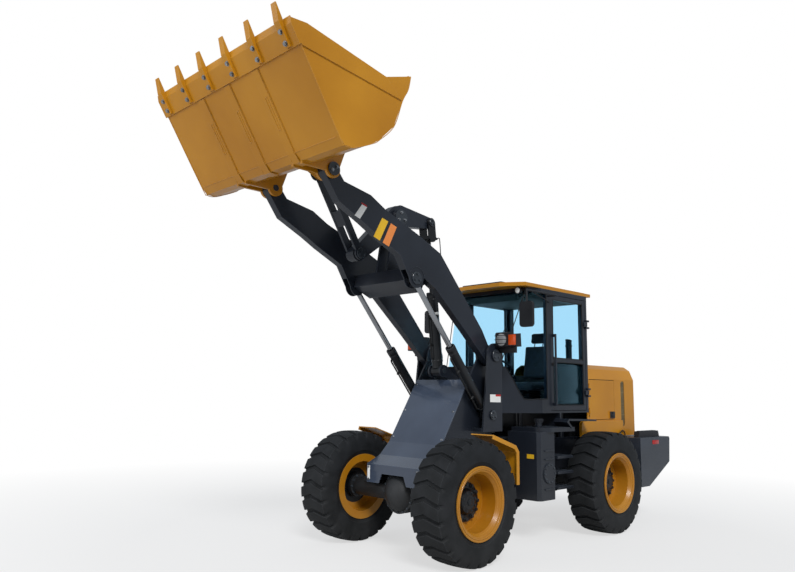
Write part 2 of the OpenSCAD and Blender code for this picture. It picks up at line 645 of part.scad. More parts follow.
// Boom
arm_end = 88;
arm_up = [hinge_e + arm_end * [cos(130), sin(130)], hinge_e + [-181, -81], hinge_e + [-554, -151],
  hinge_e + [-772, -268], lift_h + [-20, 498], lift_h + [-397, 334], boom_o + [197, 302], boom_o + [80, 122]];
arm_lo = [boom_o + [-80, -48], boom_o + [100, -88], boom_o + [519, 280], lift_h + [-313, -81],
  lift_h + [57, 111], lift_h + [274, 236], hinge_e + [-653, -567], hinge_e + [-453, -461],
  hinge_e + [-120, -304], hinge_e + arm_end * [cos(-50), sin(-50)]];
eye_half = lift_rod_d / 2 + 2;
slot_half = eye_half + 5;
beam_half = arm_y - lift_d / 2 - 8;
bracket_y = rocker_t / 2 + 24;
module arm_2d() {
  disc(boom_o, 130);
  disc(hinge_e, arm_end);
  polygon(concat(arm_up, arm_lo));
  disc(lift_h, 110);
  polygon([lift_h + [-110, 0], lift_h + [60, -92], lift_h + [274, 252], lift_h + [-149, 52]]);
}
module boom() place() color(slate) {
  both() difference() {
    slab(arm_y - arm_t / 2, arm_y + arm_t / 2) arm_2d();
    rod_y(boom_o, arm_y - 100, arm_y + 100, boom_pin_d + 2 * fit);
    rod_y(hinge_e, arm_y - 100, arm_y + 100, hinge_pin_d + 2 * fit);
    slab(arm_y - slot_half, arm_y + slot_half) {
      disc(lift_h, 185);
      polygon([lift_h + [-185, 60], lift_h + [-420, -300], lift_h + [60, -400], lift_h + [150, -100]]);
    }
  }
  // Cross box: narrow at its foot so that the lift barrels pass it when the boom is down
  slab(-beam_half, beam_half)
    polygon([lift_h + [-249, 12], lift_h + [-189, -128], lift_h + [71, -18], lift_h + [31, 132]]);
  both() slab(beam_half, arm_y - arm_t / 2)
    polygon([lift_h + [-249, 12], lift_h + [-225, -44], lift_h + [47, 72], lift_h + [31, 132]]);
  both() slab(bracket_y, bracket_y + 25) difference() {
    union() {
      disc(rocker_b, 105);
      polygon([lift_h + [-229, 20], lift_h + [31, 132], rocker_b + [100, -30], rocker_b + [-104, 0]]);
    }
    disc(rocker_b, 40 + fit);
  }
}
module bucket_pins() place() color(black) both() {
  reach = arm_t / 2 + ear_gap + ear_t;
  rod_y(hinge_e, arm_y - reach - 6, arm_y + reach + 3, hinge_pin_d);
  rod_y(hinge_e, arm_y + reach + 3, arm_y + reach + 23, hinge_pin_d + 70);
}
// Pins with a wide bolted cap on each end
module capped_pin(p, y, d, cap_d, cap_t) {
  rod_y(p, -y, y, d);
  both() rod_y(p, y, y + cap_t, cap_d);
}
module rocker_pin() place() color(black) capped_pin(rocker_b, bracket_y + 26, 80, 186, 20);
module link_pin() place() color(black) capped_pin(link_f, rocker_t / 2 + 35, 70, 156, 16);

// Bucket, drawn with its floor level and its hinge at zero
module in_bucket() place() translate([hinge_e[0], 0, hinge_e[1]]) rotate([0, -bucket_angle, 0]) children();
shell_line = [[1383, floor_own], [300, floor_own], [205, floor_own + 18], [152, -250], [125, -120], [106, 20],
  [108, 110], [165, 376], [353, 630], [430, 770], [540, 880]];
module bucket() in_bucket() color(yellow) {
  half = bucket_w / 2;
  slab(-half + 25, half - 25) strip(shell_line, -sheet_t);
  both() slab(half - 25, half - 12) polygon(concat([[1383, floor_own], [1300, -207], [625, 534]],
    [for (i = [10:-1:1]) shell_line[i]]));
  both() slab(half - 12, half)
    polygon([[1383, floor_own], [1298, -195], [619, 528], [361, 611], [1137, floor_own]]);
  for (y = [-arm_y, 0, arm_y]) slab(y - 50, y + 50)
    strip([[1140, floor_own], [300, floor_own], [205, floor_own + 18], [152, -250]], 12);
  slab(-half, half) polygon([[1150, floor_own], [1150, floor_own - 25], [1340, floor_own - 25],
    [1400, floor_own - 2], [1383, floor_own]]);
  both() for (y = [arm_y - arm_t / 2 - ear_gap - ear_t, arm_y + arm_t / 2 + ear_gap]) slab(y, y + ear_t)
    difference() {
      union() {
        disc([0, 0], 92);
        polygon(concat([[-20, 88], [140, 300]], [for (i = [6:-1:2]) shell_line[i]],
          [[180, -345], [20, -90]]));
      }
      disc([0, 0], hinge_pin_d / 2 + fit);
    }
  slab(-rocker_t / 2, rocker_t / 2) difference() {
    union() {
      disc(lug_own, 78);
      polygon([lug_own + [0, 78], [215, 438], shell_line[7], [119, 160], lug_own + [-40, -66]]);
    }
    disc(lug_own, 35 + fit);
  }
}
module bucket_teeth() in_bucket() color(yellow) for (i = [0:teeth - 1]) {
  y = (bucket_w - 280) * (i / (teeth - 1) - 0.5);
  slab(y - 35, y + 35) polygon([[1165, floor_own - 25], [1165, floor_own - 52], [1400, floor_own - 58],
    tip_own, tip_own + [-6, 8], [1400, floor_own - 2], [1340, floor_own - 25]]);
}

// Tilt linkage
module rocker() place() color(slate) slab(-rocker_t / 2, rocker_t / 2) difference() {
  union() {
    bar(tilt_c, rocker_b + [-60, 40], 70, 130);
    bar(rocker_b, link_d, 150, 85);
    disc(rocker_b, 150);
  }
  disc(rocker_b, 40 + fit);
  disc(link_d, 35 + fit);
}
module link() place() color(slate) {
  both() slab(rocker_t / 2 + 8, rocker_t / 2 + 34) difference() {
    union() {
      bar(link_d, link_f, 44, 44);
      disc(link_d, 74);
      disc(link_f, 72);
    }
    disc(link_d, 30);
    disc(link_f, 35 + fit);
  }
  m = (link_d * 0.55 + link_f * 0.45);
  u = unit(link_f - link_d);
  n = turn(u, 90) * 40;
  slab(-rocker_t / 2 - 8, rocker_t / 2 + 8)
    polygon([m + n - u * 90, m - n - u * 90, m - n + u * 90, m + n + u * 90]);
}

// Cylinders
lift_bore = lift_d - 22;
lift_len = 1040;
module lift_barrels() place() color(black) both() difference() {
  union() {
    along(lift_g, lift_h, arm_y, 60, lift_len, lift_d);
    rod_y(lift_g, arm_y - 50, arm_y + 50, 130);
  }
  along(lift_g, lift_h, arm_y, 100, lift_len + 1, lift_bore);
  rod_y(lift_g, arm_y - 60, arm_y + 60, 70 + 2 * fit);
}
lift_span = norm(lift_h - lift_g);
module lift_rods() place() color([0.7, 0.7, 0.72]) both() {
  along(lift_g, lift_h, arm_y, lift_len - 60, lift_span - 50, lift_rod_d);
  along(lift_g, lift_h, arm_y, lift_len - 100, lift_len - 60, lift_bore - 2 * fit);
  difference() {
    rod_y(lift_h, arm_y - eye_half, arm_y + eye_half, 120);
    rod_y(lift_h, arm_y - slot_half, arm_y + slot_half, 60);
  }
}
tilt_bore = tilt_d - 24;
tilt_len = 980;
tilt_span = norm(tilt_c - tilt_a);
module tilt_pin() place() color(black) rod_y(tilt_a, -114, 114, 60);
module tilt_barrel() place() color(black) difference() {
  union() {
    along(tilt_a, tilt_c, 0, 40, tilt_len, tilt_d);
    rod_y(tilt_a, -66, 66, 120);
  }
  along(tilt_a, tilt_c, 0, 100, tilt_len + 1, tilt_bore);
  rod_y(tilt_a, -70, 70, 60 + 2 * fit);
}
module tilt_sleeve() place() color(black) difference() {
  along(tilt_a, tilt_c, 0, tilt_len - 110, tilt_len - 30, tilt_bore - 2 * fit);
  along(tilt_a, tilt_c, 0, tilt_len - 120, tilt_len - 20, tilt_rod_d + 2 * fit);
}
module tilt_rod() place() color([0.7, 0.7, 0.72]) {
  along(tilt_a, tilt_c, 0, tilt_len - 160, tilt_span - 190, tilt_rod_d);
  u = unit(tilt_c - tilt_a);
  n = turn(u, 90);
  slab(-rocker_t / 2 - 32, rocker_t / 2 + 32) polygon([tilt_c - u * 200 + n * 62, tilt_c - u * 200 - n * 62,
    tilt_c - u * 160 - n * 62, tilt_c - u * 160 + n * 62]);
  both() slab(rocker_t / 2 + 8, rocker_t / 2 + 32) difference() {
    bar(tilt_c, tilt_c - u * 180, 62, 62);
    disc(tilt_c, 28);
  }
}
steer_d = 90;
steer_len = 520;
steer_span = norm(steer_eye - steer_base);
module steer_line(s) translate([steer_base[0], s * steer_base[1], steer_z])
  rotate([0, 0, s * ang(steer_base, steer_eye)]) rotate([0, 90, 0]) children();
module steer_barrel(s) steer_line(s) {
  difference() {
    union() {
      translate([0, 0, 45]) cylinder(d = steer_d, h = steer_len - 45);
      translate([-44, 0, 0]) rotate([0, 90, 0]) cylinder(d = 96, h = 88);
    }
    translate([0, 0, 80]) cylinder(d = steer_d - 20, h = steer_len);
    translate([-60, 0, 0]) rotate([0, 90, 0]) cylinder(d = steer_pin_d + 2 * fit, h = 120);
  }
}
module steer_rod(s) steer_line(s) {
  translate([0, 0, steer_len - 240]) cylinder(d = 48, h = steer_span - steer_len + 200);
  translate([0, 0, steer_len - 240]) cylinder(d = steer_d - 20 - 2 * fit, h = 40);
  translate([-44, 0, steer_span]) rotate([0, 90, 0]) difference() {
    cylinder(d = 90, h = 88);
    translate([0, 0, -1]) cylinder(d = 42, h = 90);
  }
}
module steer_barrel_left() place() color(black) steer_barrel(1);
module steer_barrel_right() place() color(black) steer_barrel(-1);
module steer_rod_left() place() color([0.7, 0.7, 0.72]) steer_rod(1);
module steer_rod_right() place() color([0.7, 0.7, 0.72]) steer_rod(-1);

rear_frame();
rear_axle();
counterweight();
fuel_tank();
hydraulic_tank();
deck();
steps();
rear_fenders();
hood();
hood_door_left();
hood_door_right();
rear_grille();
engine();
radiator();
exhaust();
cab_shell();
cab_roof();
cab_glass();
cab_door();
door_glass();
seat();
controls();
mirrors();
roof_lamps();
rear_lamps();
pivot_pins();
front_frame();
front_cover();
front_axle();
front_fenders();
head_lamps();
boom_pins();
boom();
bucket_pins();
bucket();
bucket_teeth();
rocker_pin();
rocker();
link_pin();
link();
lift_barrels();
lift_rods();
tilt_pin();
tilt_barrel();
tilt_sleeve();
tilt_rod();
steer_barrel_left();
steer_barrel_right();
steer_rod_left();
steer_rod_right();
wheel_front_left_tyre();
wheel_front_left_rim();
wheel_front_right_tyre();
wheel_front_right_rim();
wheel_rear_left_tyre();
wheel_rear_left_rim();
wheel_rear_right_tyre();
wheel_rear_right_rim();
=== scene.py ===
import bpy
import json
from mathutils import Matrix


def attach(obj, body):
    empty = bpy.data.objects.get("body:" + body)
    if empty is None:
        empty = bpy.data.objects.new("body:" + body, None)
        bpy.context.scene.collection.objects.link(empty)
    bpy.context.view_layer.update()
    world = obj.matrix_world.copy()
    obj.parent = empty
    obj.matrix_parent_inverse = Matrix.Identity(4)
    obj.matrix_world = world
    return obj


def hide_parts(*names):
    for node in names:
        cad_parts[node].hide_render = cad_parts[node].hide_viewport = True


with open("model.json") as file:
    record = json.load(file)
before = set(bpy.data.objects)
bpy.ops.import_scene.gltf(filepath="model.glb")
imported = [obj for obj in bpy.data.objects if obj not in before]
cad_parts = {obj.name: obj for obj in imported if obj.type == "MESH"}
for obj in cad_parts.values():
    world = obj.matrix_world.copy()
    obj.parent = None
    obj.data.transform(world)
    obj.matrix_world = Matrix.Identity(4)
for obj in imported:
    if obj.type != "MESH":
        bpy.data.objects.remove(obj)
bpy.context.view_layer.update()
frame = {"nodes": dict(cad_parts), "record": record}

import json
import math
import bpy
import bmesh
from mathutils import Matrix, Vector

NODES = frame["nodes"]
PIVOT_X = 501.493  # mm from the steering pivot to the frame's origin
AXLE_Z = 660.0     # mm from the ground to the axle line
X, Y, Z = Vector((1, 0, 0)), Vector((0, 1, 0)), Vector((0, 0, 1))
SIDES = (("left", 1), ("right", -1))


def at(x, y, z):
    """A point given in mm from the steering pivot and the axle line, in the frame's metres."""
    return Vector(((x - PIVOT_X) / 1000, y / 1000, (z + AXLE_Z) / 1000))


# Pin centres and sizes that the pieces sit on, mm from the steering pivot and the axle line
AXLE_X, TREAD, TYRE_W = 1450, 1850, 445
BOOM_PIN, BUCKET_PIN, ROCKER_PIN = (500, 1608), (3114, 3368), (1674, 3208)
TILT_FOOT, TILT_EYE, LINK_EYE = (888, 1414), (1110, 3248), (2280, 2688)
LIFT_FOOT, LIFT_EYE = (560, 888), (1849, 2408)
ARM_Y, ARM_FACE, TOWER_FACE = 500, 548, 595
BUCKET_TILT = math.radians(57.3)
LUG_PIN = (2803.3, 3531.8)


def in_bucket(x, y, z):
    """A point in the bucket's own lines, floor level and hinge at zero, as mm from the pivot and the axle line."""
    c, s = math.cos(BUCKET_TILT), math.sin(BUCKET_TILT)
    return BUCKET_PIN[0] + x * c - z * s, y, BUCKET_PIN[1] + x * s + z * c


# Camera at the photograph's angle, for a 795 x 572 image
YAW, PITCH, ROLL = math.radians(-134.236), math.radians(8.491), math.radians(0.847)
FOCAL_PX, IMAGE_W, SENSOR = 714.7, 795.0, 36.0
look = Vector((math.cos(YAW) * math.cos(PITCH), math.sin(YAW) * math.cos(PITCH), math.sin(PITCH)))
level = Vector((math.sin(YAW), -math.cos(YAW), 0.0))
upright = level.cross(look)
right = math.cos(ROLL) * level + math.sin(ROLL) * upright
above = -math.sin(ROLL) * level + math.cos(ROLL) * upright
lens = bpy.data.cameras.new("photo_camera")
lens.sensor_fit = "HORIZONTAL"
lens.sensor_width = SENSOR
lens.lens = FOCAL_PX / IMAGE_W * SENSOR
lens.clip_end = 200.0
camera = bpy.data.objects.new("photo_camera", lens)
camera.matrix_world = Matrix.Translation((6.9955, 6.045, 1.800)) @ Matrix(
    (right, above, -look)).transposed().to_4x4()
bpy.context.scene.collection.objects.link(camera)
bpy.context.scene.camera = camera
bpy.context.scene.view_settings.view_transform = "Standard"


# Materials

def tone(code):
    """sRGB hex to linear colour."""
    part = [int(code[i:i + 2], 16) / 255 for i in (1, 3, 5)]
    return [c / 12.92 if c <= 0.04045 else ((c + 0.055) / 1.055) ** 2.4 for c in part] + [1.0]


def put(tree, kind, settings={}, links={}):
    """Adds a node, sets its properties, and links or fills its sockets."""
    made = tree.nodes.new(kind)
    for key, value in settings.items():
        setattr(made, key, value)
    for key, value in links.items():
        if isinstance(value, bpy.types.NodeSocket):
            tree.links.new(value, made.inputs[key])
        else:
            made.inputs[key].default_value = value
    return made


def blank(name):
    """An empty material with its output and Object coordinates."""
    made = bpy.data.materials.new(name)
    made.use_nodes = True
    made.node_tree.nodes.clear()
    out = put(made.node_tree, "ShaderNodeOutputMaterial")
    place = put(made.node_tree, "ShaderNodeTexCoord").outputs["Object"]
    return made, made.node_tree, out, place


def finish(name, dark, light, patch_mm, rough, grain_mm, depth_mm, metallic=0.0, coat=0.0, worn=None, dust=None,
           dark_eye=None, shine=0.32):
    """A solid finish: two tones in patches, uneven gloss, a grain, worn edges, low dust, black paint round an eye."""
    made, tree, out, place = blank(name)
    patch = put(tree, "ShaderNodeTexNoise", {}, {"Vector": place, "Scale": 1000 / patch_mm, "Detail": 5.0})
    fine = put(tree, "ShaderNodeTexNoise", {}, {"Vector": place, "Scale": 1000 / grain_mm, "Detail": 2.0})
    spread = put(tree, "ShaderNodeMapRange", {}, {"Value": patch.outputs["Fac"], "From Min": 0.35, "From Max": 0.65})
    colour = put(tree, "ShaderNodeMixRGB", {}, {
        "Fac": spread.outputs["Result"], "Color1": tone(dark), "Color2": tone(light)}).outputs["Color"]
    if dust:
        height = put(tree, "ShaderNodeSeparateXYZ", {}, {"Vector": place}).outputs["Z"]
        low = put(tree, "ShaderNodeMapRange", {}, {"Value": height, "From Min": 1.2, "From Max": 0.0, "To Max": 0.35})
        settled = put(tree, "ShaderNodeMath", {"operation": "MULTIPLY"}, {
            0: low.outputs["Result"], 1: patch.outputs["Fac"]})
        colour = put(tree, "ShaderNodeMixRGB", {}, {
            "Fac": settled.outputs["Value"], "Color1": colour, "Color2": tone(dust)}).outputs["Color"]
    if worn:
        round_edge = put(tree, "ShaderNodeBevel", {"samples": 4}, {"Radius": 0.006}).outputs["Normal"]
        flat = put(tree, "ShaderNodeNewGeometry").outputs["Normal"]
        same = put(tree, "ShaderNodeVectorMath", {"operation": "DOT_PRODUCT"}, {0: round_edge, 1: flat})
        edge = put(tree, "ShaderNodeMapRange", {}, {
            "Value": same.outputs["Value"], "From Min": 0.985, "From Max": 0.80, "To Max": 0.5})
        colour = put(tree, "ShaderNodeMixRGB", {}, {
            "Fac": edge.outputs["Result"], "Color1": colour, "Color2": tone(worn)}).outputs["Color"]
    inside = None
    if dark_eye:
        eye_x, eye_z, eye_r = dark_eye
        axle = put(tree, "ShaderNodeVectorMath", {"operation": "SUBTRACT"}, {0: place, 1: at(eye_x, 0, eye_z)})
        flat = put(tree, "ShaderNodeVectorMath", {"operation": "MULTIPLY"}, {0: axle.outputs[0], 1: (1, 0, 1)})
        radius = put(tree, "ShaderNodeVectorMath", {"operation": "LENGTH"}, {0: flat.outputs[0]}).outputs["Value"]
        inside = put(tree, "ShaderNodeMapRange", {}, {
            "Value": radius, "From Min": eye_r / 1000 + 0.002, "From Max": eye_r / 1000 - 0.002}).outputs["Result"]
        colour = put(tree, "ShaderNodeMixRGB", {}, {
            "Fac": inside, "Color1": colour, "Color2": tone("#131417")}).outputs["Color"]
    gloss = put(tree, "ShaderNodeMapRange", {}, {
        "Value": patch.outputs["Fac"], "From Min": 0.3, "From Max": 0.7, "To Min": rough[0], "To Max": rough[1]})
    bump = put(tree, "ShaderNodeBump", {}, {
        "Height": fine.outputs["Fac"], "Strength": 0.5, "Distance": depth_mm / 1000})
    skin = put(tree, "ShaderNodeBsdfPrincipled", {}, {
        "Base Color": colour, "Roughness": gloss.outputs["Result"], "Normal": bump.outputs["Normal"],
        "Metallic": metallic, "Coat Weight": coat, "Coat Roughness": 0.12, "Specular IOR Level": shine})
    if inside and metallic:
        bare = put(tree, "ShaderNodeMath", {"operation": "SUBTRACT"}, {0: metallic, 1: inside})
        tree.links.new(bare.outputs[0], skin.inputs["Metallic"])
    tree.links.new(skin.outputs["BSDF"], out.inputs["Surface"])
    return made


def lens_glass(name, tint, rough, through, bend=1.45):
    """Clear or tinted glass and lamp lenses, with a faint smear in the gloss."""
    made, tree, out, place = blank(name)
    smear = put(tree, "ShaderNodeTexNoise", {}, {"Vector": place, "Scale": 6.0, "Detail": 4.0})
    gloss = put(tree, "ShaderNodeMapRange", {}, {
        "Value": smear.outputs["Fac"], "To Min": rough * 0.5, "To Max": rough})
    skin = put(tree, "ShaderNodeBsdfPrincipled", {}, {
        "Base Color": tone(tint), "Roughness": gloss.outputs["Result"], "Transmission Weight": through, "IOR": bend})
    # light on its way to what lies behind passes straight through, as it does through a thin pane
    ray = put(tree, "ShaderNodeLightPath").outputs
    passing = put(tree, "ShaderNodeMath", {"operation": "MAXIMUM"}, {0: ray["Is Shadow Ray"], 1: ray["Is Diffuse Ray"]})
    share = put(tree, "ShaderNodeMath", {"operation": "MULTIPLY"}, {0: passing.outputs[0], 1: through})
    clear = put(tree, "ShaderNodeBsdfTransparent", {}, {"Color": tone(tint)})
    both = put(tree, "ShaderNodeMixShader", {}, {0: share.outputs[0], 1: skin.outputs["BSDF"], 2: clear.outputs[0]})
    tree.links.new(both.outputs[0], out.inputs["Surface"])
    return made


# Slate polyurethane enamel on plate steel: satin, faint orange peel, paler at its edges, a little dust low down
slate_enamel = finish("slate_enamel_on_plate", "#181c24", "#20252e", 700, (0.28, 0.4), 7, 0.25, coat=0.15,
                      worn="#4b535c", dust="#4f4c44")
# The same enamel on the front cover, fresh and glossy, so that it mirrors the sky; its tone is painted paler and bluer
# than the slate elsewhere, a painted sky reflection
cover_enamel_painted_sky = finish("slate_enamel_painted_sky_reflection", "#343d4d", "#404a5b", 800, (0.16, 0.24), 9, 0.12, coat=0.7,
                      worn="#8893a1")
# Ochre polyurethane enamel: fuller gloss, warm, with slow tone drift from hand spraying
ochre_enamel = finish("ochre_enamel", "#b0740a", "#bf8214", 900, (0.3, 0.42), 8, 0.2, coat=0.12, worn="#d3a964",
                      dust="#8b7448")
# The same on the wheels, with the black enamel of the hubs inside
front_rim_enamel = finish("ochre_rim_enamel_front", "#a66a08", "#b37710", 500, (0.32, 0.44), 8, 0.2, coat=0.12,
                          worn="#cfa35c", dust="#7d6a45", dark_eye=(AXLE_X, 0, 210))
rear_rim_enamel = finish("ochre_rim_enamel_rear", "#a66a08", "#b37710", 500, (0.32, 0.44), 8, 0.2, coat=0.12,
                         worn="#cfa35c", dust="#7d6a45", dark_eye=(-AXLE_X, 0, 210))
# Black chassis paint on cylinders and castings
black_paint = finish("black_chassis_paint", "#121417", "#1b1e22", 300, (0.3, 0.45), 6, 0.3, coat=0.1, worn="#4d5054")
# Grey-brown sand-cast iron under thin slate paint
cast_housing = finish("painted_iron_casting", "#171a1e", "#22262b", 240, (0.45, 0.6), 9, 1.2, worn="#565b61",
                      dust="#5d564a")
# The counterweight's slate over cast iron, painted a shade paler than the slate elsewhere: painted light, a lit copy of
# the same enamel
weight_enamel_painted_light = finish("slate_enamel_on_casting_painted_light", "#272d36", "#323842", 420, (0.32, 0.46), 10, 0.6, coat=0.15,
                       worn="#69717a", dust="#635e53")
# Tyre rubber: carbon black, dull, faintly bloomed grey
tyre_rubber = finish("tyre_rubber", "#17191b", "#222427", 160, (0.6, 0.78), 5, 0.6, worn="#55585c",
                     dust="#3f3d39", shine=0.2)
# Black moulded plastic of lamp and mirror housings, with a fine texture
moulded_plastic = finish("moulded_black_plastic", "#17181c", "#222327", 200, (0.42, 0.56), 3, 0.25)
# Rubber seals and hoses
hose_rubber = finish("hose_rubber", "#121314", "#1c1d1e", 120, (0.5, 0.66), 4, 0.3)
# Hard chrome on cylinder rods: mirror bright with a faint oil film
hard_chrome = finish("hard_chrome", "#8b8d90", "#a8aaad", 500, (0.08, 0.18), 30, 0.02, metallic=1.0)
# The tilt rod's chrome, with black paint on the clevis at its end
clevis_chrome = finish("hard_chrome_and_black_clevis", "#8b8d90", "#a8aaad", 500, (0.1, 0.25), 30, 0.02, metallic=1.0,
                       dark_eye=TILT_EYE + (260,))
# Turned steel of pins, bolt heads and fittings
turned_steel = finish("turned_steel", "#7b7d80", "#a2a4a7", 60, (0.28, 0.42), 3, 0.1, metallic=1.0)
# Zinc-plated and slate-painted bolt heads
painted_bolt = finish("painted_bolt_heads", "#2a2f35", "#3b4148", 60, (0.3, 0.45), 3, 0.1, coat=0.3)
# Pin caps under the same slate enamel
cap_enamel = finish("slate_enamel_on_pin_caps", "#23282e", "#2d333a", 120, (0.3, 0.42), 6, 0.2, coat=0.3,
                    worn="#5d6670")
# Woven seat fabric
seat_cloth = finish("woven_seat_cloth", "#17181b", "#26282c", 90, (0.8, 0.95), 6, 1.2)
# Grey cab lining
cab_lining = finish("grey_cab_lining", "#33342f", "#40413a", 260, (0.6, 0.75), 4, 0.4)
# Vinyl films: blank label white, signal red, band orange and band yellow
label_white = finish("white_vinyl_film", "#dcdcd9", "#e9e9e6", 300, (0.35, 0.45), 20, 0.05)
label_red = finish("red_vinyl_film", "#a8201d", "#b92a25", 300, (0.35, 0.45), 20, 0.05)
band_orange = finish("orange_vinyl_film", "#e08440", "#ea9150", 300, (0.35, 0.45), 20, 0.05)
band_yellow = finish("yellow_vinyl_film", "#dfae22", "#e8b92d", 300, (0.35, 0.45), 20, 0.05)
# An opaque green-black gloss for the lower door pane: painted shade, standing for the shaded cab inside seen through
# the glass
interior_shade_sheet = finish("door_pane_painted_interior_shade", "#141b1a", "#1b2423", 400, (0.12, 0.2), 40, 0.02)
# Unpainted perforated sheet behind the hood slots
perforated_sheet = finish("perforated_sheet", "#7d6c48", "#8f7d56", 140, (0.4, 0.55), 4, 0.1, metallic=0.3)
# Tinted safety glass and lamp lenses
cab_pane = lens_glass("tinted_safety_glass", "#cfeefd", 0.01, 1.0, 1.02)
clear_lens = lens_glass("clear_lamp_lens", "#f3f5f6", 0.12, 0.6)
amber_lens = lens_glass("amber_lamp_lens", "#e0561a", 0.15, 0.2)
red_lens = lens_glass("red_lamp_lens", "#b3150f", 0.15, 0.2)
# Silvered mirror glass
mirror_glass = finish("silvered_mirror", "#cfd4d8", "#dde2e5", 400, (0.02, 0.05), 60, 0.0, metallic=1.0)

WEAR = {
    "slate_paint": slate_enamel, "yellow_paint": ochre_enamel, "black_paint": black_paint, "tyre_rubber": tyre_rubber,
    "chrome": hard_chrome, "steel": cap_enamel, "tinted_glass": cab_pane, "seat_fabric": seat_cloth,
    "cast_iron": cast_housing, "lamp_housing": moulded_plastic}
OWN_FINISH = {
    "front_cover": cover_enamel_painted_sky, "counterweight": weight_enamel_painted_light, "tilt_rod": clevis_chrome,
    "wheel_front_left_rim": front_rim_enamel, "wheel_front_right_rim": front_rim_enamel,
    "wheel_rear_left_rim": rear_rim_enamel, "wheel_rear_right_rim": rear_rim_enamel}
for entry in frame["record"]["subparts"]:
    solid = NODES[entry["node"]]
    solid.data.materials.clear()
    solid.data.materials.append(OWN_FINISH.get(entry["node"], WEAR[entry["material_slot"]]))


# Making pieces

def fasten(name, shape, finish_of, body, sharp_deg=35):
    """Closes a shape into one piece with its place in its mesh, and lets it ride on a body."""
    bmesh.ops.recalc_face_normals(shape, faces=shape.faces)
    mesh = bpy.data.meshes.new(name)
    shape.to_mesh(mesh)
    shape.free()
    mesh.shade_smooth()
    mesh.set_sharp_from_angle(angle=math.radians(sharp_deg))
    mesh.materials.append(finish_of)
    made = bpy.data.objects.new(name, mesh)
    bpy.context.scene.collection.objects.link(made)
    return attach(made, body)


def plain_mesh(holder):
    """The evaluated object as one plain mesh; the holder with its modifiers goes."""
    mesh = bpy.data.meshes.new_from_object(holder.evaluated_get(bpy.context.evaluated_depsgraph_get()))
    bpy.data.objects.remove(holder)
    return mesh


def block(shape, low, high, edge_mm=4, turn=None):
    """A box between two corners in mm, with rounded edges, turned about its middle if asked."""
    a, b = at(*low), at(*high)
    mid, size = (a + b) / 2, b - a
    corners = bmesh.ops.create_cube(shape, size=1.0)["verts"]
    for corner in corners:
        spot = Vector([corner.co[i] * size[i] for i in range(3)])
        corner.co = mid + (turn @ spot if turn else spot)
    edges = list({edge for corner in corners for edge in corner.link_edges})
    bmesh.ops.bevel(shape, geom=edges, offset=edge_mm / 1000, segments=2, profile=0.5, affect="EDGES")


def turned(shape, spot, axis, outline, sides=32, ring=False):
    """A shape turned on an axis through a spot in mm: outline holds radius and height pairs in mm."""
    foot, axis = at(*spot), axis.normalized()
    across = axis.orthogonal().normalized()
    along = axis.cross(across)
    rows = []
    for radius, height in outline:
        mid = foot + axis * height / 1000
        if radius == 0:
            rows.append([shape.verts.new(mid)] * sides)
        else:
            rows.append([shape.verts.new(mid + (across * math.cos(a) + along * math.sin(a)) * radius / 1000)
                         for a in (2 * math.pi * i / sides for i in range(sides))])
    pairs = list(zip(rows, rows[1:])) + ([(rows[-1], rows[0])] if ring else [])
    for low, high in pairs:
        for i in range(sides):
            j = (i + 1) % sides
            corners = list(dict.fromkeys((low[i], low[j], high[j], high[i])))
            shape.faces.new(corners)


def smooth_line(points, steps=6):
    """A smooth line through all the points."""
    ends = [points[0] * 2 - points[1]] + points + [points[-1] * 2 - points[-2]]
    line = []
    for a, b, c, d in zip(ends, ends[1:], ends[2:], ends[3:]):
        for k in range(steps):
            t = k / steps
            line.append(0.5 * (2 * b + (c - a) * t + (2 * a - 5 * b + 4 * c - d) * t * t
                               + (3 * b - a - 3 * c + d) * t ** 3))
    return line + [points[-1]]


def pipe(shape, points, thick_mm, sides=10, steps=6):
    """A round bar, pipe or bead along a smooth line through points in mm."""
    line = smooth_line([at(*p) for p in points], steps if len(points) > 2 else 1)
    across = (line[1] - line[0]).orthogonal().normalized()
    rows = []
    for i, spot in enumerate(line):
        run = (line[min(i + 1, len(line) - 1)] - line[max(i - 1, 0)]).normalized()
        across = (across - run * across.dot(run)).normalized()
        along = run.cross(across)
        rows.append([shape.verts.new(spot + (across * math.cos(a) + along * math.sin(a)) * thick_mm / 2000)
                     for a in (2 * math.pi * k / sides for k in range(sides))])
    for low, high in zip(rows, rows[1:]):
        for k in range(sides):
            shape.faces.new((low[k], low[(k + 1) % sides], high[(k + 1) % sides], high[k]))
    shape.faces.new(rows[0])
    shape.faces.new(rows[-1])


def film(shape, corners, out, thick_mm=1.5):
    """A thin flat film over corner points in mm, standing out along a direction."""
    low = [shape.verts.new(at(*p)) for p in corners]
    high = [shape.verts.new(at(*p) + out.normalized() * thick_mm / 1000) for p in corners]
    shape.faces.new(low)
    shape.faces.new(high)
    for i in range(len(corners)):
        j = (i + 1) % len(corners)
        shape.faces.new((low[i], low[j], high[j], high[i]))


# Fasteners: one tree sets a hex head on a washer at each place, facing the way that the place says

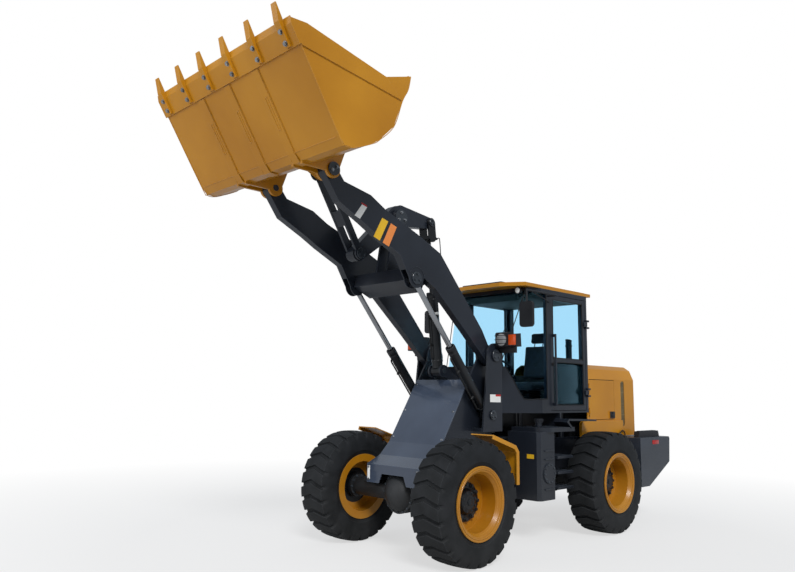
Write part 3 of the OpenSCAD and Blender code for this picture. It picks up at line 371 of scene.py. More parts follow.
def head_tree():
    tree = bpy.data.node_groups.new("hex_heads_on_washers", "GeometryNodeTree")
    tree.interface.new_socket("Places", in_out="INPUT", socket_type="NodeSocketGeometry")
    for label in ("Head width", "Head height"):
        tree.interface.new_socket(label, in_out="INPUT", socket_type="NodeSocketFloat")
    tree.interface.new_socket("Corners", in_out="INPUT", socket_type="NodeSocketInt")
    tree.interface.new_socket("Finish", in_out="INPUT", socket_type="NodeSocketMaterial")
    tree.interface.new_socket("Heads", in_out="OUTPUT", socket_type="NodeSocketGeometry")
    given = put(tree, "NodeGroupInput").outputs
    tall = given["Head height"]
    washer_r = put(tree, "ShaderNodeMath", {"operation": "MULTIPLY"}, {0: given["Head width"], 1: 0.72}).outputs[0]
    washer_h = put(tree, "ShaderNodeMath", {"operation": "MULTIPLY"}, {0: tall, 1: 0.5}).outputs[0]
    head_r = put(tree, "ShaderNodeMath", {"operation": "MULTIPLY"}, {0: given["Head width"], 1: 0.56}).outputs[0]
    lift = put(tree, "ShaderNodeCombineXYZ", {}, {"Z": put(
        tree, "ShaderNodeMath", {"operation": "MULTIPLY"}, {0: tall, 1: 0.6}).outputs[0]}).outputs[0]
    washer = put(tree, "GeometryNodeMeshCylinder", {}, {"Vertices": 16, "Radius": washer_r, "Depth": washer_h})
    head = put(tree, "GeometryNodeMeshCylinder", {}, {"Vertices": given["Corners"], "Radius": head_r, "Depth": tall})
    raised = put(tree, "GeometryNodeTransform", {}, {"Geometry": head.outputs["Mesh"], "Translation": lift})
    one = put(tree, "GeometryNodeJoinGeometry")
    tree.links.new(washer.outputs["Mesh"], one.inputs[0])
    tree.links.new(raised.outputs[0], one.inputs[0])
    facing = put(tree, "GeometryNodeInputNamedAttribute", {"data_type": "FLOAT_VECTOR"}, {"Name": "facing"})
    turn = put(tree, "FunctionNodeAlignRotationToVector", {"axis": "Z"}, {"Vector": facing.outputs["Attribute"]})
    spread = put(tree, "GeometryNodeInstanceOnPoints", {}, {
        "Points": given["Places"], "Instance": one.outputs[0], "Rotation": turn.outputs[0]})
    solid = put(tree, "GeometryNodeRealizeInstances", {}, {"Geometry": spread.outputs[0]})
    coated = put(tree, "GeometryNodeSetMaterial", {}, {"Geometry": solid.outputs[0], "Material": given["Finish"]})
    put(tree, "NodeGroupOutput", {}, {"Heads": coated.outputs[0]})
    return tree


HEADS = head_tree()


def heads(name, places, width_mm, tall_mm, body, finish_of=painted_bolt, corners=6):
    """Bolt heads or studs at places: each a point in mm and the direction it faces."""
    mesh = bpy.data.meshes.new(name + "_places")
    mesh.from_pydata([at(*spot) for spot, out in places], [], [])
    facing = mesh.attributes.new("facing", "FLOAT_VECTOR", "POINT")
    for value, (spot, out) in zip(facing.data, places):
        value.vector = out
    holder = bpy.data.objects.new(name + "_places", mesh)
    bpy.context.scene.collection.objects.link(holder)
    spread = holder.modifiers.new("heads", "NODES")
    spread.node_group = HEADS
    sizes = {"Head width": width_mm / 1000, "Head height": tall_mm / 1000, "Corners": corners, "Finish": finish_of}
    for socket in HEADS.interface.items_tree:
        if socket.in_out == "INPUT" and socket.name in sizes:
            spread[socket.identifier] = sizes[socket.name]
    made = bpy.data.objects.new(name, plain_mesh(holder))
    bpy.context.scene.collection.objects.link(made)
    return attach(made, body)


def ring_of(middle, out, radius_mm, count, start_deg=0.0):
    """Places on a circle about a middle point in mm, all facing out."""
    across = Y if abs(out.y) < 0.5 else X
    along = out.cross(across)
    return [(tuple(Vector(middle) + (across * math.cos(a) + along * math.sin(a)) * radius_mm), out)
            for a in (math.radians(start_deg) + 2 * math.pi * i / count for i in range(count))]


# Tyres: the source's section and lugs, with a fuller side wall and rounded lug edges
LUGS, LUG_DEPTH, CHEVRON = 24, 32.0, 5.3
SHOULDER = TYRE_W * 0.43
# share of the lug pitch, and how deep into the tread
LUG_STATIONS = ((-0.34, 0), (-0.17, 0), (0, 0), (0.17, 0), (0.34, 0), (0.355, 0.12), (0.375, 0.88), (0.39, 1),
                (0.5, 1), (0.61, 1), (0.625, 0.88), (0.645, 0.12))
# distance from the mid plane, radius on a lug, and how far the groove cuts in there
HALF_SECTION = (
    (184, 319.5, 0), (196, 350, 0), (199, 386, 0), (203, 396, 0), (214, 430, 0), (217, 432, 0), (221, 474, 0),
    (222, 505, 0), (219, 548, 0), (214, 580, 0.1), (207, 612, 0.6), (SHOULDER, 648, 1.0),
    (160, 653, 0.96), (105, 657, 0.9), (50, 659, 0.84))


def tyre(name, x, y, body):
    section = ([(-a, r, g) for a, r, g in HALF_SECTION] + [(0.0, 660.0, 0.8)]
               + [(a, r, g) for a, r, g in reversed(HALF_SECTION)])
    shape = bmesh.new()
    rows = []
    for lug in range(LUGS):
        for share, deep in LUG_STATIONS:
            row = []
            for off, radius, groove in section:
                swept = CHEVRON * min(abs(off) / SHOULDER, 1)
                a = math.radians((lug + share) * 360 / LUGS - swept - 90)
                r = radius - deep * groove * LUG_DEPTH
                row.append(shape.verts.new(at(x + r * math.cos(a), y + off, r * math.sin(a))))
            rows.append(row)
    for row, after in zip(rows, rows[1:] + rows[:1]):
        for j in range(len(section)):
            k = (j + 1) % len(section)
            shape.faces.new((row[j], row[k], after[k], after[j]))
    made = fasten(name, shape, tyre_rubber, body, 40)
    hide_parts(body + "_tyre")


for axle_name, axle_x in (("front", AXLE_X), ("rear", -AXLE_X)):
    for side_name, side in SIDES:
        wheel = f"wheel_{axle_name}_{side_name}"
        tyre(wheel + "_lugged_tyre", axle_x, side * TREAD / 2, wheel)
        nut_y = side * (TREAD / 2 + 1)
        heads(wheel + "_nuts", ring_of((axle_x, nut_y, 0), Y * side, 182, 12), 34, 22, wheel, black_paint)
        cover_y = side * (TREAD / 2 + 53)
        heads(wheel + "_cover_bolts", ring_of((axle_x, cover_y, 0), Y * side, 96, 8, 22), 18, 8, wheel, black_paint)
        shape = bmesh.new()
        for outline in ([(374, 204), (384, 206), (388, 214), (385, 221), (376, 222), (368, 217), (366, 208)],
                        [(352, 212), (359, 213), (361, 217), (357, 221), (351, 219), (348, 215)]):
            turned(shape, (axle_x, side * TREAD / 2, 0), Y * side, outline, 96, True)
        fasten(wheel + "_lock_rings", shape, front_rim_enamel, wheel)
        shape = bmesh.new()
        turned(shape, (axle_x, side * (TREAD / 2 + 60), 0), Y * side, [(0, 0), (34, 0), (34, 8), (22, 14), (0, 14)])
        pipe(shape, [(axle_x + 290, side * (TREAD / 2 + 40), 0), (axle_x + 284, side * (TREAD / 2 + 75), 0),
                     (axle_x + 276, side * (TREAD / 2 + 105), 0)], 11)
        fasten(wheel + "_plug_and_valve", shape, black_paint, wheel)

for axle_name, axle_x, out in (("front", AXLE_X, X), ("rear", -AXLE_X, -X)):
    body = axle_name + "_frame"
    heads(f"{axle_name}_differential_bolts", ring_of((axle_x + out.x * 102, 0, 0), out, 219, 16), 20, 12, body)
    tube_bolts = sum((ring_of((axle_x, side * 795, 0), -Y * side, 120, 10) for _, side in SIDES), [])
    heads(f"{axle_name}_axle_flange_bolts", tube_bolts, 20, 12, body)


# Linkage: caps over the pins, their bolts, cylinder glands, pipes and the level rod

def cap(shape, pin, y, side, radius_mm, tall_mm):
    turned(shape, (pin[0], y * side, pin[1]), Y * side,
           [(0, 0), (radius_mm, 0), (radius_mm, tall_mm - 4), (radius_mm - 4, tall_mm), (0, tall_mm)])


CAPS = (("link_eye_caps", "rocker", LINK_EYE, 87, 62, 14), ("tilt_eye_caps", "rocker", TILT_EYE, 86, 48, 12),
        ("lift_eye_caps", "boom", LIFT_EYE, ARM_FACE, 72, 14), ("boom_pin_caps", "front_frame", BOOM_PIN, 609, 74, 12),
        ("lift_foot_caps", "front_frame", LIFT_FOOT, 605, 56, 12))
for name, body, pin, y, radius_mm, tall_mm in CAPS:
    shape = bmesh.new()
    bolts_at = []
    for _, side in SIDES:
        cap(shape, pin, y, side, radius_mm, tall_mm)
        bolts_at += ring_of((pin[0], side * (y + tall_mm + 1), pin[1]), Y * side, radius_mm * 0.6, 3, 30)
    fasten(name, shape, cap_enamel, body)
    heads(name + "_bolts", bolts_at, 22, 12, body)
for name, body, pin, y, radius_mm, count in (
        ("rocker_pin_bolts", "rocker_pin", ROCKER_PIN, 123, 58, 3), ("link_pin_bolts", "link_pin", LUG_PIN, 104, 48, 3),
        ("bucket_pin_bolts", "bucket_pins", BUCKET_PIN, 612, 36, 2)):
    heads(name, sum((ring_of((pin[0], side * y, pin[1]), Y * side, radius_mm, count, 35) for _, side in SIDES), []),
          26, 14, body, turned_steel)


def on_line(foot, eye, reach, y, off=0.0):
    """A point along a cylinder's line in mm from its foot, set off square to it."""
    run = (Vector(eye) - Vector(foot)).normalized()
    spot = Vector(foot) + run * reach + Vector((run.y, -run.x)) * off
    return spot.x, y, spot.y


def cylinder_trim(name, foot, eye, ys, barrel_r, length, gland_mm, body):
    """A gland collar, a foot collar and a port block with its hard pipe along a barrel."""
    run = Vector((eye[0] - foot[0], 0, eye[1] - foot[1]))
    collars, pipes = bmesh.new(), bmesh.new()
    for y in ys:
        for start, tall, more in ((length - 70, 66, gland_mm), (112, 26, 6), (length - 96, 14, gland_mm - 0.5)):
            outline = [(barrel_r + 0.5, 0), (barrel_r + more - 2, 0), (barrel_r + more, 3), (barrel_r + more, tall - 3),
                       (barrel_r + more - 2, tall), (barrel_r + 0.5, tall)]
            turned(collars, on_line(foot, eye, start, y), run, outline, ring=True)
        route = [(150, barrel_r + 4), (170, barrel_r + 26), (240, barrel_r + 30), (length - 230, barrel_r + 30),
                 (length - 130, barrel_r + 28), (length - 112, barrel_r + 2)]
        pipe(pipes, [on_line(foot, eye, reach, y, off) for reach, off in route], 20)
        for reach in (330, length - 320):
            turned(pipes, on_line(foot, eye, reach, y, barrel_r - 1), Vector((run.z, 0, -run.x)),
                   [(0, 0), (18, 0), (18, 22), (12, 46), (0, 46)], 12)
    fasten(name + "_collars", collars, black_paint, body)
    fasten(name + "_hard_pipes", pipes, hose_rubber, body)


cylinder_trim("lift_barrel", LIFT_FOOT, LIFT_EYE, (ARM_Y, -ARM_Y), 56, 1040, 3, "lift_barrels")
cylinder_trim("tilt_barrel", TILT_FOOT, TILT_EYE, (0,), 66, 980, 8, "tilt_barrel")
shape = bmesh.new()
turned(shape, on_line(TILT_FOOT, TILT_EYE, 700, 0), Vector((TILT_EYE[0] - TILT_FOOT[0], 0, TILT_EYE[1] - TILT_FOOT[1])),
       [(66.3, 0), (67.5, 0), (67.5, 30), (66.3, 30)], ring=True)
fasten("tilt_barrel_pale_band", shape, label_white, "tilt_barrel")
shape = bmesh.new()
pipe(shape, [on_line(TILT_FOOT, TILT_EYE, 1650, 74, -84), on_line(TILT_FOOT, TILT_EYE, 1660, 74, -120),
             on_line(TILT_FOOT, TILT_EYE, 1620, 74, -134), on_line(TILT_FOOT, TILT_EYE, 1350, 74, -130)], 12)
turned(shape, on_line(TILT_FOOT, TILT_EYE, 1650, 74, -60), Vector((-1, 0, 0.1)),
       [(0, 0), (16, 0), (16, 22), (0, 22)], 12)
fasten("bucket_level_rod", shape, black_paint, "tilt_rod")

# Boom: plain bands of film and a blank label on the near side
shape = bmesh.new()
film(shape, [(2390, ARM_FACE, 3000), (2300, ARM_FACE, 2975), (2420, ARM_FACE, 2745), (2510, ARM_FACE, 2775)], Y)
fasten("boom_band_yellow", shape, band_yellow, "boom")
shape = bmesh.new()
film(shape, [(2260, ARM_FACE, 2962), (2170, ARM_FACE, 2935), (2285, ARM_FACE, 2700), (2375, ARM_FACE, 2730)], Y)
fasten("boom_band_orange", shape, band_orange, "boom")
shape = bmesh.new()
film(shape, [(2683, ARM_FACE, 3090), (2612, ARM_FACE, 3072), (2707, ARM_FACE, 2931), (2782, ARM_FACE, 2955)], Y)
fasten("boom_blank_label", shape, label_white, "boom")
shape = bmesh.new()
film(shape, [(2695, ARM_FACE, 3112), (2618, ARM_FACE, 3092), (2612, ARM_FACE, 3074), (2683, ARM_FACE, 3092)], Y)
fasten("boom_label_edge", shape, label_red, "boom")
weld = bmesh.new()
for _, side in SIDES:
    pipe(weld, [(LIFT_EYE[0] + 125 * math.cos(a), side * (ARM_FACE + 1), LIFT_EYE[1] + 125 * math.sin(a))
                for a in (math.radians(d) for d in range(25, 176, 15))], 9)
fasten("lift_eye_weld", weld, slate_enamel, "boom")

# Bucket: weld beads along the straps and the side bands, and two bolts to a tooth
FLOOR, BUCKET_HALF, TEETH = -348, 1240, 6
weld = bmesh.new()
for y in (-ARM_Y, 0, ARM_Y):
    for edge in (-52, 52):
        pipe(weld, [in_bucket(x, y + edge, z) for x, z in ((1138, FLOOR - 3), (700, FLOOR - 3), (300, FLOOR - 3),
                                                           (203, FLOOR + 15), (149, -252))], 9)
for _, side in SIDES:
    band_y = side * (BUCKET_HALF - 11)
    pipe(weld, [in_bucket(1137, band_y, FLOOR + 4), in_bucket(361, band_y, 611)], 8)
    pipe(weld, [in_bucket(x, side * (BUCKET_HALF - 13), z) for x, z in (
        (1130, FLOOR - 1), (300, FLOOR - 1), (203, FLOOR + 16), (150, -250), (123, -120), (104, 20), (106, 110),
        (163, 376), (351, 630), (428, 771), (536, 882))], 8)
for low_y, high_y in ((-1180, -560), (-440, -60), (60, 440), (560, 1180)):
    pipe(weld, [in_bucket(300, low_y, FLOOR - 2), in_bucket(300, high_y, FLOOR - 2)], 9)
fasten("bucket_weld_beads", weld, ochre_enamel, "bucket")
shape = bmesh.new()
for y in (-ARM_Y, 0, ARM_Y):
    rim = [in_bucket(x + 16 * math.cos(a), y + 16 * math.sin(a), FLOOR - 13)
           for x, first in ((860, -90), (560, 90)) for a in (math.radians(first + d) for d in range(0, 181, 30))]
    pipe(shape, rim + rim[:1], 8, 8, 2)
fasten("bucket_strap_slot_welds", shape, ochre_enamel, "bucket")
down = Vector(in_bucket(0, 0, -1)) - Vector(in_bucket(0, 0, 0))
bolts_at = []
for i in range(TEETH):
    tooth_y = (2 * BUCKET_HALF - 280) * (i / (TEETH - 1) - 0.5)
    bolts_at += [(in_bucket(x, tooth_y, FLOOR - 53.5), down.normalized()) for x in (1205, 1310)]
    bolts_at += [(in_bucket(x, tooth_y, FLOOR + 1), -down.normalized()) for x in (1205, 1310)]
heads("tooth_bolts", bolts_at, 36, 16, "bucket", turned_steel)

# Front body: cover screws, tower label, lamps
fall = Vector((807 - 1285, 0, 1301 - 543))
out = Vector((fall.z, 0, -fall.x)).normalized()
bolts_at = [(tuple(Vector((1285, side * 400, 543)) + fall * t + out * 12.5), out)
            for t in (0.08, 0.5, 0.92) for _, side in SIDES]
bolts_at += [((1652.5, side * 400, z), X) for z in (130, 270) for _, side in SIDES]
heads("front_cover_screws", bolts_at, 20, 8, "front_frame", turned_steel)
shape = bmesh.new()
film(shape, [(400, TOWER_FACE, 1042), (606, TOWER_FACE, 1045), (606, TOWER_FACE, 1136), (400, TOWER_FACE, 1136)], Y)
fasten("tower_blank_label", shape, label_white, "front_frame")
shape = bmesh.new()
film(shape, [(400, TOWER_FACE + 1.5, 1112), (500, TOWER_FACE + 1.5, 1112), (500, TOWER_FACE + 1.5, 1136),
             (400, TOWER_FACE + 1.5, 1136)], Y, 0.5)
fasten("tower_label_corner", shape, label_red, "front_frame")
shape = bmesh.new()
film(shape, [(1652, -420, 130), (1652, -378, 130), (1652, -378, 285), (1652, -420, 285)], X)
fasten("front_cover_blank_label", shape, label_white, "front_frame")
for side_name, side in SIDES:
    shape = bmesh.new()
    turned(shape, (511, side * 700, 1798), X, [(0, 0), (76, 0), (76, 4), (60, 11), (30, 15), (0, 16)])
    fasten(f"head_lamp_lens_{side_name}", shape, clear_lens, "front_frame")
    shape = bmesh.new()
    turned(shape, (511, side * 700, 1798), X, [(77, 0), (88, 0), (88, 10), (83, 14), (77, 10)], ring=True)
    for z in (1750, 1798, 1846):
        pipe(shape, [(505, side * 610, z), (535, side * 618, z), (540, side * 700, z), (535, side * 782, z),
                     (505, side * 790, z)], 10)
    fasten(f"head_lamp_guard_{side_name}", shape, moulded_plastic, "front_frame")
    shape = bmesh.new()
    low_y, high_y = sorted((side * 802, side * 908))
    block(shape, (500, low_y, 1728), (514, high_y, 1852), 5)
    for z in range(1740, 1850, 12):
        block(shape, (512, low_y + 6, z), (516, high_y - 6, z + 5), 1)
    fasten(f"turn_lamp_lens_{side_name}", shape, amber_lens, "front_frame")

# Tank and deck: cover bolts, a plain label, hand screw on the cap, grip studs on the walkways
heads("tank_cover_bolts", ring_of((-225, 874.5, 176), Y, 106, 10), 20, 9, "rear_frame")
shape = bmesh.new()
film(shape, [(-20, 675, 357), (-20, 779, 357), (-20, 779, 410), (-20, 675, 410)], X)
fasten("tank_plain_label", shape, band_yellow, "rear_frame")
studs = [((x, side * y, 733.5), Z) for _, side in SIDES for x in range(-730, -250, 60) for y in range(420, 880, 60)
         if not (x > -420 and 560 < y < 720)]
studs += [((x, side * y, z + 30.5), Z) for _, side in SIDES for z in (-32, 158, 348)
          for x in range(-715, -400, 45) for y in (580, 675, 775, 862)]
heads("walkway_grip_studs", studs, 22, 3, "rear_frame", slate_enamel, 12)
shape = bmesh.new()
for _, side in SIDES:
    for i in range(18):
        a = 2 * math.pi * i / 18
        block(shape, (-330 + 55 * math.cos(a) - 5, side * 640 + 55 * math.sin(a) - 5, 796),
              (-330 + 55 * math.cos(a) + 5, side * 640 + 55 * math.sin(a) + 5, 832), 2)
fasten("filler_cap_ribs", shape, moulded_plastic, "rear_frame")

# Hood: latches on the doors, perforated plates behind the slots, the radiator's fins, a rain flap on the exhaust
for side_name, side in SIDES:
    shape = bmesh.new()
    low_y, high_y = sorted((side * 651, side * 658))
    block(shape, (-2252, low_y, 820), (-2116, high_y, 914), 6)
    block(shape, (-2235, low_y + side * 5, 838), (-2150, high_y + side * 7, 866), 4)
    turned(shape, (-2184, side * 657, 893), Y * side, [(0, 0), (14, 0), (14, 7), (5, 9), (0, 9)], 20)
    fasten(f"hood_latch_{side_name}", shape, moulded_plastic, f"hood_door_{side_name}")
for side_name, side in SIDES:
    shape = bmesh.new()
    low_y, high_y = sorted((side * 628, side * 634))
    block(shape, (-2572, low_y, 692), (-2464, high_y, 1358), 2)
    rib_low, rib_high = sorted((side * 632, side * 637))
    for z in (860, 1025, 1190):
        block(shape, (-2570, rib_low, z), (-2466, rib_high, z + 9), 2)
    fasten(f"hood_slot_sheet_{side_name}", shape, perforated_sheet, "rear_frame")
# Dark discs on the slot plates stand for their holes: painted shade of the dark bay behind them
hole_shade_spots = [((-2570 + 13 * i + 6.5 * (j % 2), side * 634.2, 700 + 12 * j), Y * side)
         for _, side in SIDES for i in range(9) for j in range(54)
         if abs(-2570 + 13 * i + 6.5 * (j % 2) + 2518) < 46]
heads("slot_plate_painted_hole_shade", hole_shade_spots, 6, 0.8, "rear_frame", hose_rubber, 8)
shape = bmesh.new()
for i in range(44):
    block(shape, (-2649, -462 + 21 * i, 700), (-2641, -457 + 21 * i, 1390), 1)
fasten("radiator_fins", shape, hose_rubber, "rear_frame")
shape = bmesh.new()
turned(shape, (-1800, 180, 1940), Z, [(47, -90), (50, -90), (50, -60), (47, -60)], ring=True)
turned(shape, (-1800, 180, 1947), Vector((-0.35, 0, 1)), [(0, 0), (50, 0), (50, 4), (0, 6)])
fasten("exhaust_flap_and_clamp", shape, black_paint, "rear_frame")
shape = bmesh.new()
pipe(shape, [(-2440, 700, 546), (-2440, 700, 600), (-2380, 700, 640), (-2300, 700, 600), (-2300, 700, 546)], 18)
pipe(shape, [(-2440, -700, 546), (-2440, -700, 600), (-2380, -700, 640), (-2300, -700, 600), (-2300, -700, 546)], 18)
for _, side in SIDES:
    low_y, high_y = sorted((side * 830, side * 890))
    block(shape, (-3030, low_y, 628), (-2550, high_y, 636), 3)
fasten("counterweight_grips", shape, black_paint, "rear_frame")
shape = bmesh.new()
for _, side in SIDES:
    low_y, high_y = sorted((side * 1000, side * 1004))
    block(shape, (-2890, low_y, 445), (-2690, high_y, 503), 2)
    low_y, high_y = sorted((side * 700, side * 900))
    block(shape, (-3254, low_y, 400), (-3244, high_y, 470), 4)
    low_y, high_y = sorted((side * 340, side * 460))
    block(shape, (-1636, low_y, 2535), (-1628, high_y, 2562), 3)
fasten("rear_reflectors", shape, red_lens, "rear_frame")

# Cab: pane seals, wiper, lamps, mirrors, lining, levers
CAB_HALF, DOOR_A, DOOR_B, DOOR_LO, DOOR_HI, CAB_TOP = 690, -1420, -560, 933, 2470, 2530
DOOR_MID = DOOR_HI - 870


def pane_seal(shape, low_x, high_x, low_z, high_z, y, width_mm=16):
    """A rubber seal round a flat side pane, with rounded corners."""
    turn = 40
    loop = []
    for x, z, start in ((high_x - turn, high_z - turn, 0), (low_x + turn, high_z - turn, 90),
                        (low_x + turn, low_z + turn, 180), (high_x - turn, low_z + turn, 270)):
        loop += [(x + turn * math.cos(math.radians(start + d)), y, z + turn * math.sin(math.radians(start + d)))
                 for d in (0, 45, 90)]
    pipe(shape, loop + loop[:1], width_mm, 8, 2)


shape = bmesh.new()
for low_z, high_z in ((DOOR_LO + 78, DOOR_MID - 30), (DOOR_MID + 30, DOOR_HI - 68)):
    pane_seal(shape, DOOR_A + 66, DOOR_B - 66, low_z - 2, high_z + 2, CAB_HALF - 6)
block(shape, (DOOR_B - 66, 687, 1520), (DOOR_B - 20, 700, 1560), 4)
turned(shape, (DOOR_B - 52, 699, 1540), Y, [(0, 0), (12, 0), (12, 5), (0, 6)], 16)
fasten("door_seals_and_latch", shape, hose_rubber, "cab_door")
shape = bmesh.new()
pane_seal(shape, DOOR_A + 38, DOOR_B - 18, 1128, DOOR_HI - 38, -CAB_HALF + 3)
for _, side in SIDES:
    pipe(shape, [(221, side * 450, 1492), (46, side * 524, 1982), (-131, side * 598, 2478)], 12)
    pipe(shape, [(145, side * 482, 1490), (24, side * 533, 1288), (-98, side * 585, 1087), (-280, side * 661, 1087),
                 (-350, side * 690, 1087), (-466, side * 690, 1087)], 12, steps=2)
    pipe(shape, [(-466, side * 690, 1087), (-466, side * 690, 1790), (-466, side * 690, 2476)], 14)
pipe(shape, [(221, -450, 1490), (221, 0, 1490), (221, 450, 1490)], 14)
fasten("cab_pane_seals", shape, hose_rubber, "rear_frame")
shape = bmesh.new()
pipe(shape, [(226, 250, 1470), (222, 262, 1530), (150, 330, 1740), (92, 382, 1900)], 13)
pipe(shape, [(176, 300, 1640), (134, 335, 1760), (92, 372, 1880), (44, 415, 2010)], 9)
turned(shape, (219, 250, 1462), X, [(0, 0), (24, 0), (24, 12), (14, 20), (0, 20)], 20)
fasten("windscreen_wiper", shape, moulded_plastic, "rear_frame")
for side_name, side in SIDES:
    shape = bmesh.new()
    turned(shape, (-34, side * 550, CAB_TOP - 52), X, [(0, 0), (36, 0), (36, 5), (20, 9), (0, 10)])
    fasten(f"work_lamp_lens_{side_name}", shape, label_white, "rear_frame")
    shape = bmesh.new()
    low_y, high_y = sorted((side * 732, side * 908))
    block(shape, (126, low_y, 1992), (131, high_y, 2278), 2)
    turned(shape, (126.5, side * 820, 2045), -X, [(0, 0), (42, 0), (40, 3), (24, 6), (0, 8)])
    fasten(f"mirror_glass_{side_name}", shape, mirror_glass, "rear_frame")
shape = bmesh.new()
block(shape, (-1405, -625, 2432), (-260, 625, 2476), 12)
block(shape, (-250, -420, 2380), (-215, 420, 2470), 8)
fasten("cab_headlining", shape, cab_lining, "rear_frame")
shape = bmesh.new()
for x, y in ((-760, -360), (-760, -440), (-850, -400)):
    pipe(shape, [(x, y, 1378), (x + 8, y, 1450), (x + 30, y, 1520)], 14)
    turned(shape, (x + 28, y, 1512), Vector((0.25, 0, 1)), [(0, 0), (14, 0), (22, 20), (20, 46), (10, 56), (0, 58)], 20)
block(shape, (-255, -150, 1470), (-175, 150, 1560), 14, Matrix.Rotation(math.radians(25), 3, "Y"))
block(shape, (-1140, -515, 1380), (-900, -305, 1412), 12)
fasten("levers_and_dash", shape, moulded_plastic, "rear_frame")
# An opaque dark sheet just inside the lower door glass is painted shade of the cab inside; the grab bar takes the same
# finish
shape = bmesh.new()
block(shape, (DOOR_A + 70, 654, DOOR_LO + 80), (DOOR_B - 70, 660, DOOR_MID - 32), 3)
pipe(shape, [(DOOR_A + 100, 655, 1500), (DOOR_A + 110, 636, 1504), (-990, 630, 1506), (DOOR_B - 110, 636, 1504),
             (DOOR_B - 100, 655, 1500)], 20)
fasten("door_lower_painted_shade_sheet", shape, interior_shade_sheet, "cab_door")
shape = bmesh.new()
block(shape, (-1390, -650, 960), (-480, -632, 1530), 8)
block(shape, (-1420, -560, 960), (-1400, 560, 1420), 8)
block(shape, (-1380, -600, 960), (-420, 600, 974), 5)
fasten("cab_side_lining", shape, cab_lining, "rear_frame")


# Seat: cloth pads over foam, swollen by pressure, on a bellows

def pad(name, middle, size, tilt_deg, swell_mm):
    """A sewn pad: a rounded block, remeshed, swollen as cloth and capped, then smoothed."""
    turn = Matrix.Rotation(math.radians(tilt_deg), 3, "Y")
    shape = bmesh.new()
    block(shape, [m - s / 2 for m, s in zip(middle, size)], [m + s / 2 for m, s in zip(middle, size)], 26, turn)
    bmesh.ops.recalc_face_normals(shape, faces=shape.faces)
    mesh = bpy.data.meshes.new(name)
    shape.to_mesh(mesh)
    shape.free()
    holder = bpy.data.objects.new(name + "_block", mesh)
    bpy.context.scene.collection.objects.link(holder)
    even = holder.modifiers.new("even", "REMESH")
    even.mode = "VOXEL"
    even.voxel_size = 0.012
    mesh = plain_mesh(holder)
    rest = [v.co.copy() for v in mesh.vertices]
    holder = bpy.data.objects.new(name + "_cloth", mesh)
    bpy.context.scene.collection.objects.link(holder)
    cloth = holder.modifiers.new("cloth", "CLOTH")
    cloth.settings.use_pressure = True
    cloth.settings.uniform_pressure_force = 4.0
    cloth.settings.effector_weights.gravity = 0.0
    cloth.point_cache.frame_start, cloth.point_cache.frame_end = 1, 20
    for step in range(1, 21):
        bpy.context.scene.frame_set(step)
    mesh = plain_mesh(holder)
    bpy.context.scene.frame_set(1)
    for vertex, start in zip(mesh.vertices, rest):
        move = vertex.co - start
        if move.length > swell_mm / 1000:
            vertex.co = start + move.normalized() * swell_mm / 1000
    mesh.shade_smooth()
    mesh.materials.clear()
    mesh.materials.append(seat_cloth)
    made = bpy.data.objects.new(name, mesh)
    bpy.context.scene.collection.objects.link(made)
    finer = made.modifiers.new("finer", "SUBSURF")
    finer.levels = finer.render_levels = 1
    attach(made, "rear_frame")
    return made


cushion = pad("seat_cushion", (-1000, 0, 1262), (470, 470, 90), 3, 10)
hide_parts("seat")
pad("seat_backrest", (-1240, 0, 1600), (84, 430, 490), -9, 10)
pad("seat_headrest", (-1305, 0, 1955), (70, 260, 150), -9, 8)
shape = bmesh.new()
for i in range(6):
    fold = 12 * (i % 2)
    block(shape, (-1150 + fold, -140 + fold, 960 + 40 * i), (-850 - fold, 140 - fold, 1000 + 40 * i), 12)
block(shape, (-1235, -235, 1198), (-765, 235, 1216), 6)
for y in (-70, 70):
    pipe(shape, [(-1283, y, 1830), (-1294, y, 1880), (-1302, y, 1930)], 14)
pipe(shape, [(-1200, -238, 1225), (-1250, -238, 1235), (-1292, -228, 1480), (-1318, -200, 1840)], 26)
pipe(shape, [(-1200, 238, 1225), (-1250, 238, 1235), (-1292, 228, 1480), (-1318, 200, 1840)], 26)
fasten("seat_base_and_frame", shape, moulded_plastic, "rear_frame")


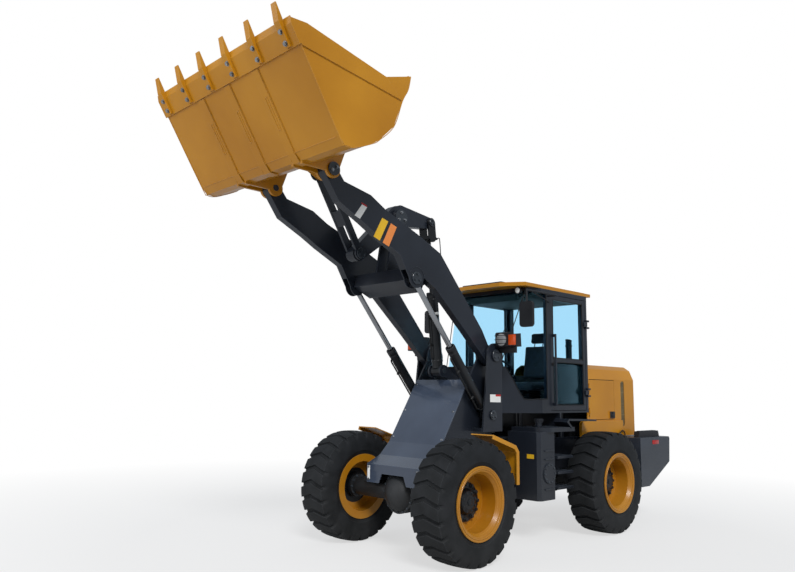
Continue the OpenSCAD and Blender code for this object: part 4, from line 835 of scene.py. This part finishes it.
# Studio: a white floor that keeps the shadow, a white backdrop, two soft lamps
floor_finish, tree, out, place = blank("pale_studio_floor")
ray = put(tree, "ShaderNodeLightPath").outputs
lit = put(tree, "ShaderNodeBsdfDiffuse", {}, {"Color": tone("#c9c9c9")})
glow = put(tree, "ShaderNodeEmission", {}, {"Color": tone("#ffffff"), "Strength": 1.0})
straight = put(tree, "ShaderNodeMath", {"operation": "MAXIMUM"}, {
    0: ray["Is Camera Ray"], 1: ray["Is Transmission Ray"]})
reach = put(tree, "ShaderNodeVectorMath", {"operation": "LENGTH"}, {0: place}).outputs["Value"]
whiter = put(tree, "ShaderNodeMapRange", {}, {
    "Value": reach, "From Min": 4.0, "From Max": 11.0, "To Min": 0.62, "To Max": 1.0})
share = put(tree, "ShaderNodeMath", {"operation": "MULTIPLY"}, {0: straight.outputs[0], 1: whiter.outputs["Result"]})
mixed = put(tree, "ShaderNodeMixShader", {}, {0: share.outputs[0], 1: lit.outputs[0], 2: glow.outputs[0]})
tree.links.new(mixed.outputs[0], out.inputs["Surface"])
shape = bmesh.new()
bmesh.ops.create_grid(shape, x_segments=2, y_segments=2, size=60.0)
sheet = bpy.data.meshes.new("studio_floor")
shape.to_mesh(sheet)
shape.free()
floor = bpy.data.objects.new("studio_floor", sheet)
floor.data.materials.append(floor_finish)
bpy.context.scene.collection.objects.link(floor)

world = bpy.data.worlds.new("studio_sky")
world.use_nodes = True
tree = world.node_tree
tree.nodes.clear()
out = put(tree, "ShaderNodeOutputWorld")
ray = put(tree, "ShaderNodeLightPath").outputs
seen = put(tree, "ShaderNodeMath", {"operation": "MAXIMUM"}, {0: ray["Is Camera Ray"], 1: ray["Is Transmission Ray"]})
fill = put(tree, "ShaderNodeBackground", {}, {"Color": tone("#dfe7f0"), "Strength": 0.55})
backdrop = put(tree, "ShaderNodeBackground", {}, {"Color": tone("#ffffff"), "Strength": 1.0})
both_ways = put(tree, "ShaderNodeMixShader", {}, {0: seen.outputs["Value"], 1: fill.outputs[0], 2: backdrop.outputs[0]})
tree.links.new(both_ways.outputs[0], out.inputs["Surface"])
bpy.context.scene.world = world

for name, kind, power, size, spot, aim in (
        ("key_sun", "SUN", 2.3, 0.35, (6.0, 9.0, 9.0), (0.0, 0.0, 0.0)),
        ("front_softbox", "AREA", 260.0, 6.0, (11.0, -3.0, 5.0), (1.0, 0.0, 2.0))):
    lamp = bpy.data.lights.new(name, kind)
    lamp.energy = power
    if kind == "SUN":
        lamp.angle = size
    else:
        lamp.size = size
    holder = bpy.data.objects.new(name, lamp)
    holder.location = spot
    holder.rotation_euler = (Vector(aim) - Vector(spot)).to_track_quat("-Z", "Y").to_euler()
    bpy.context.scene.collection.objects.link(holder)
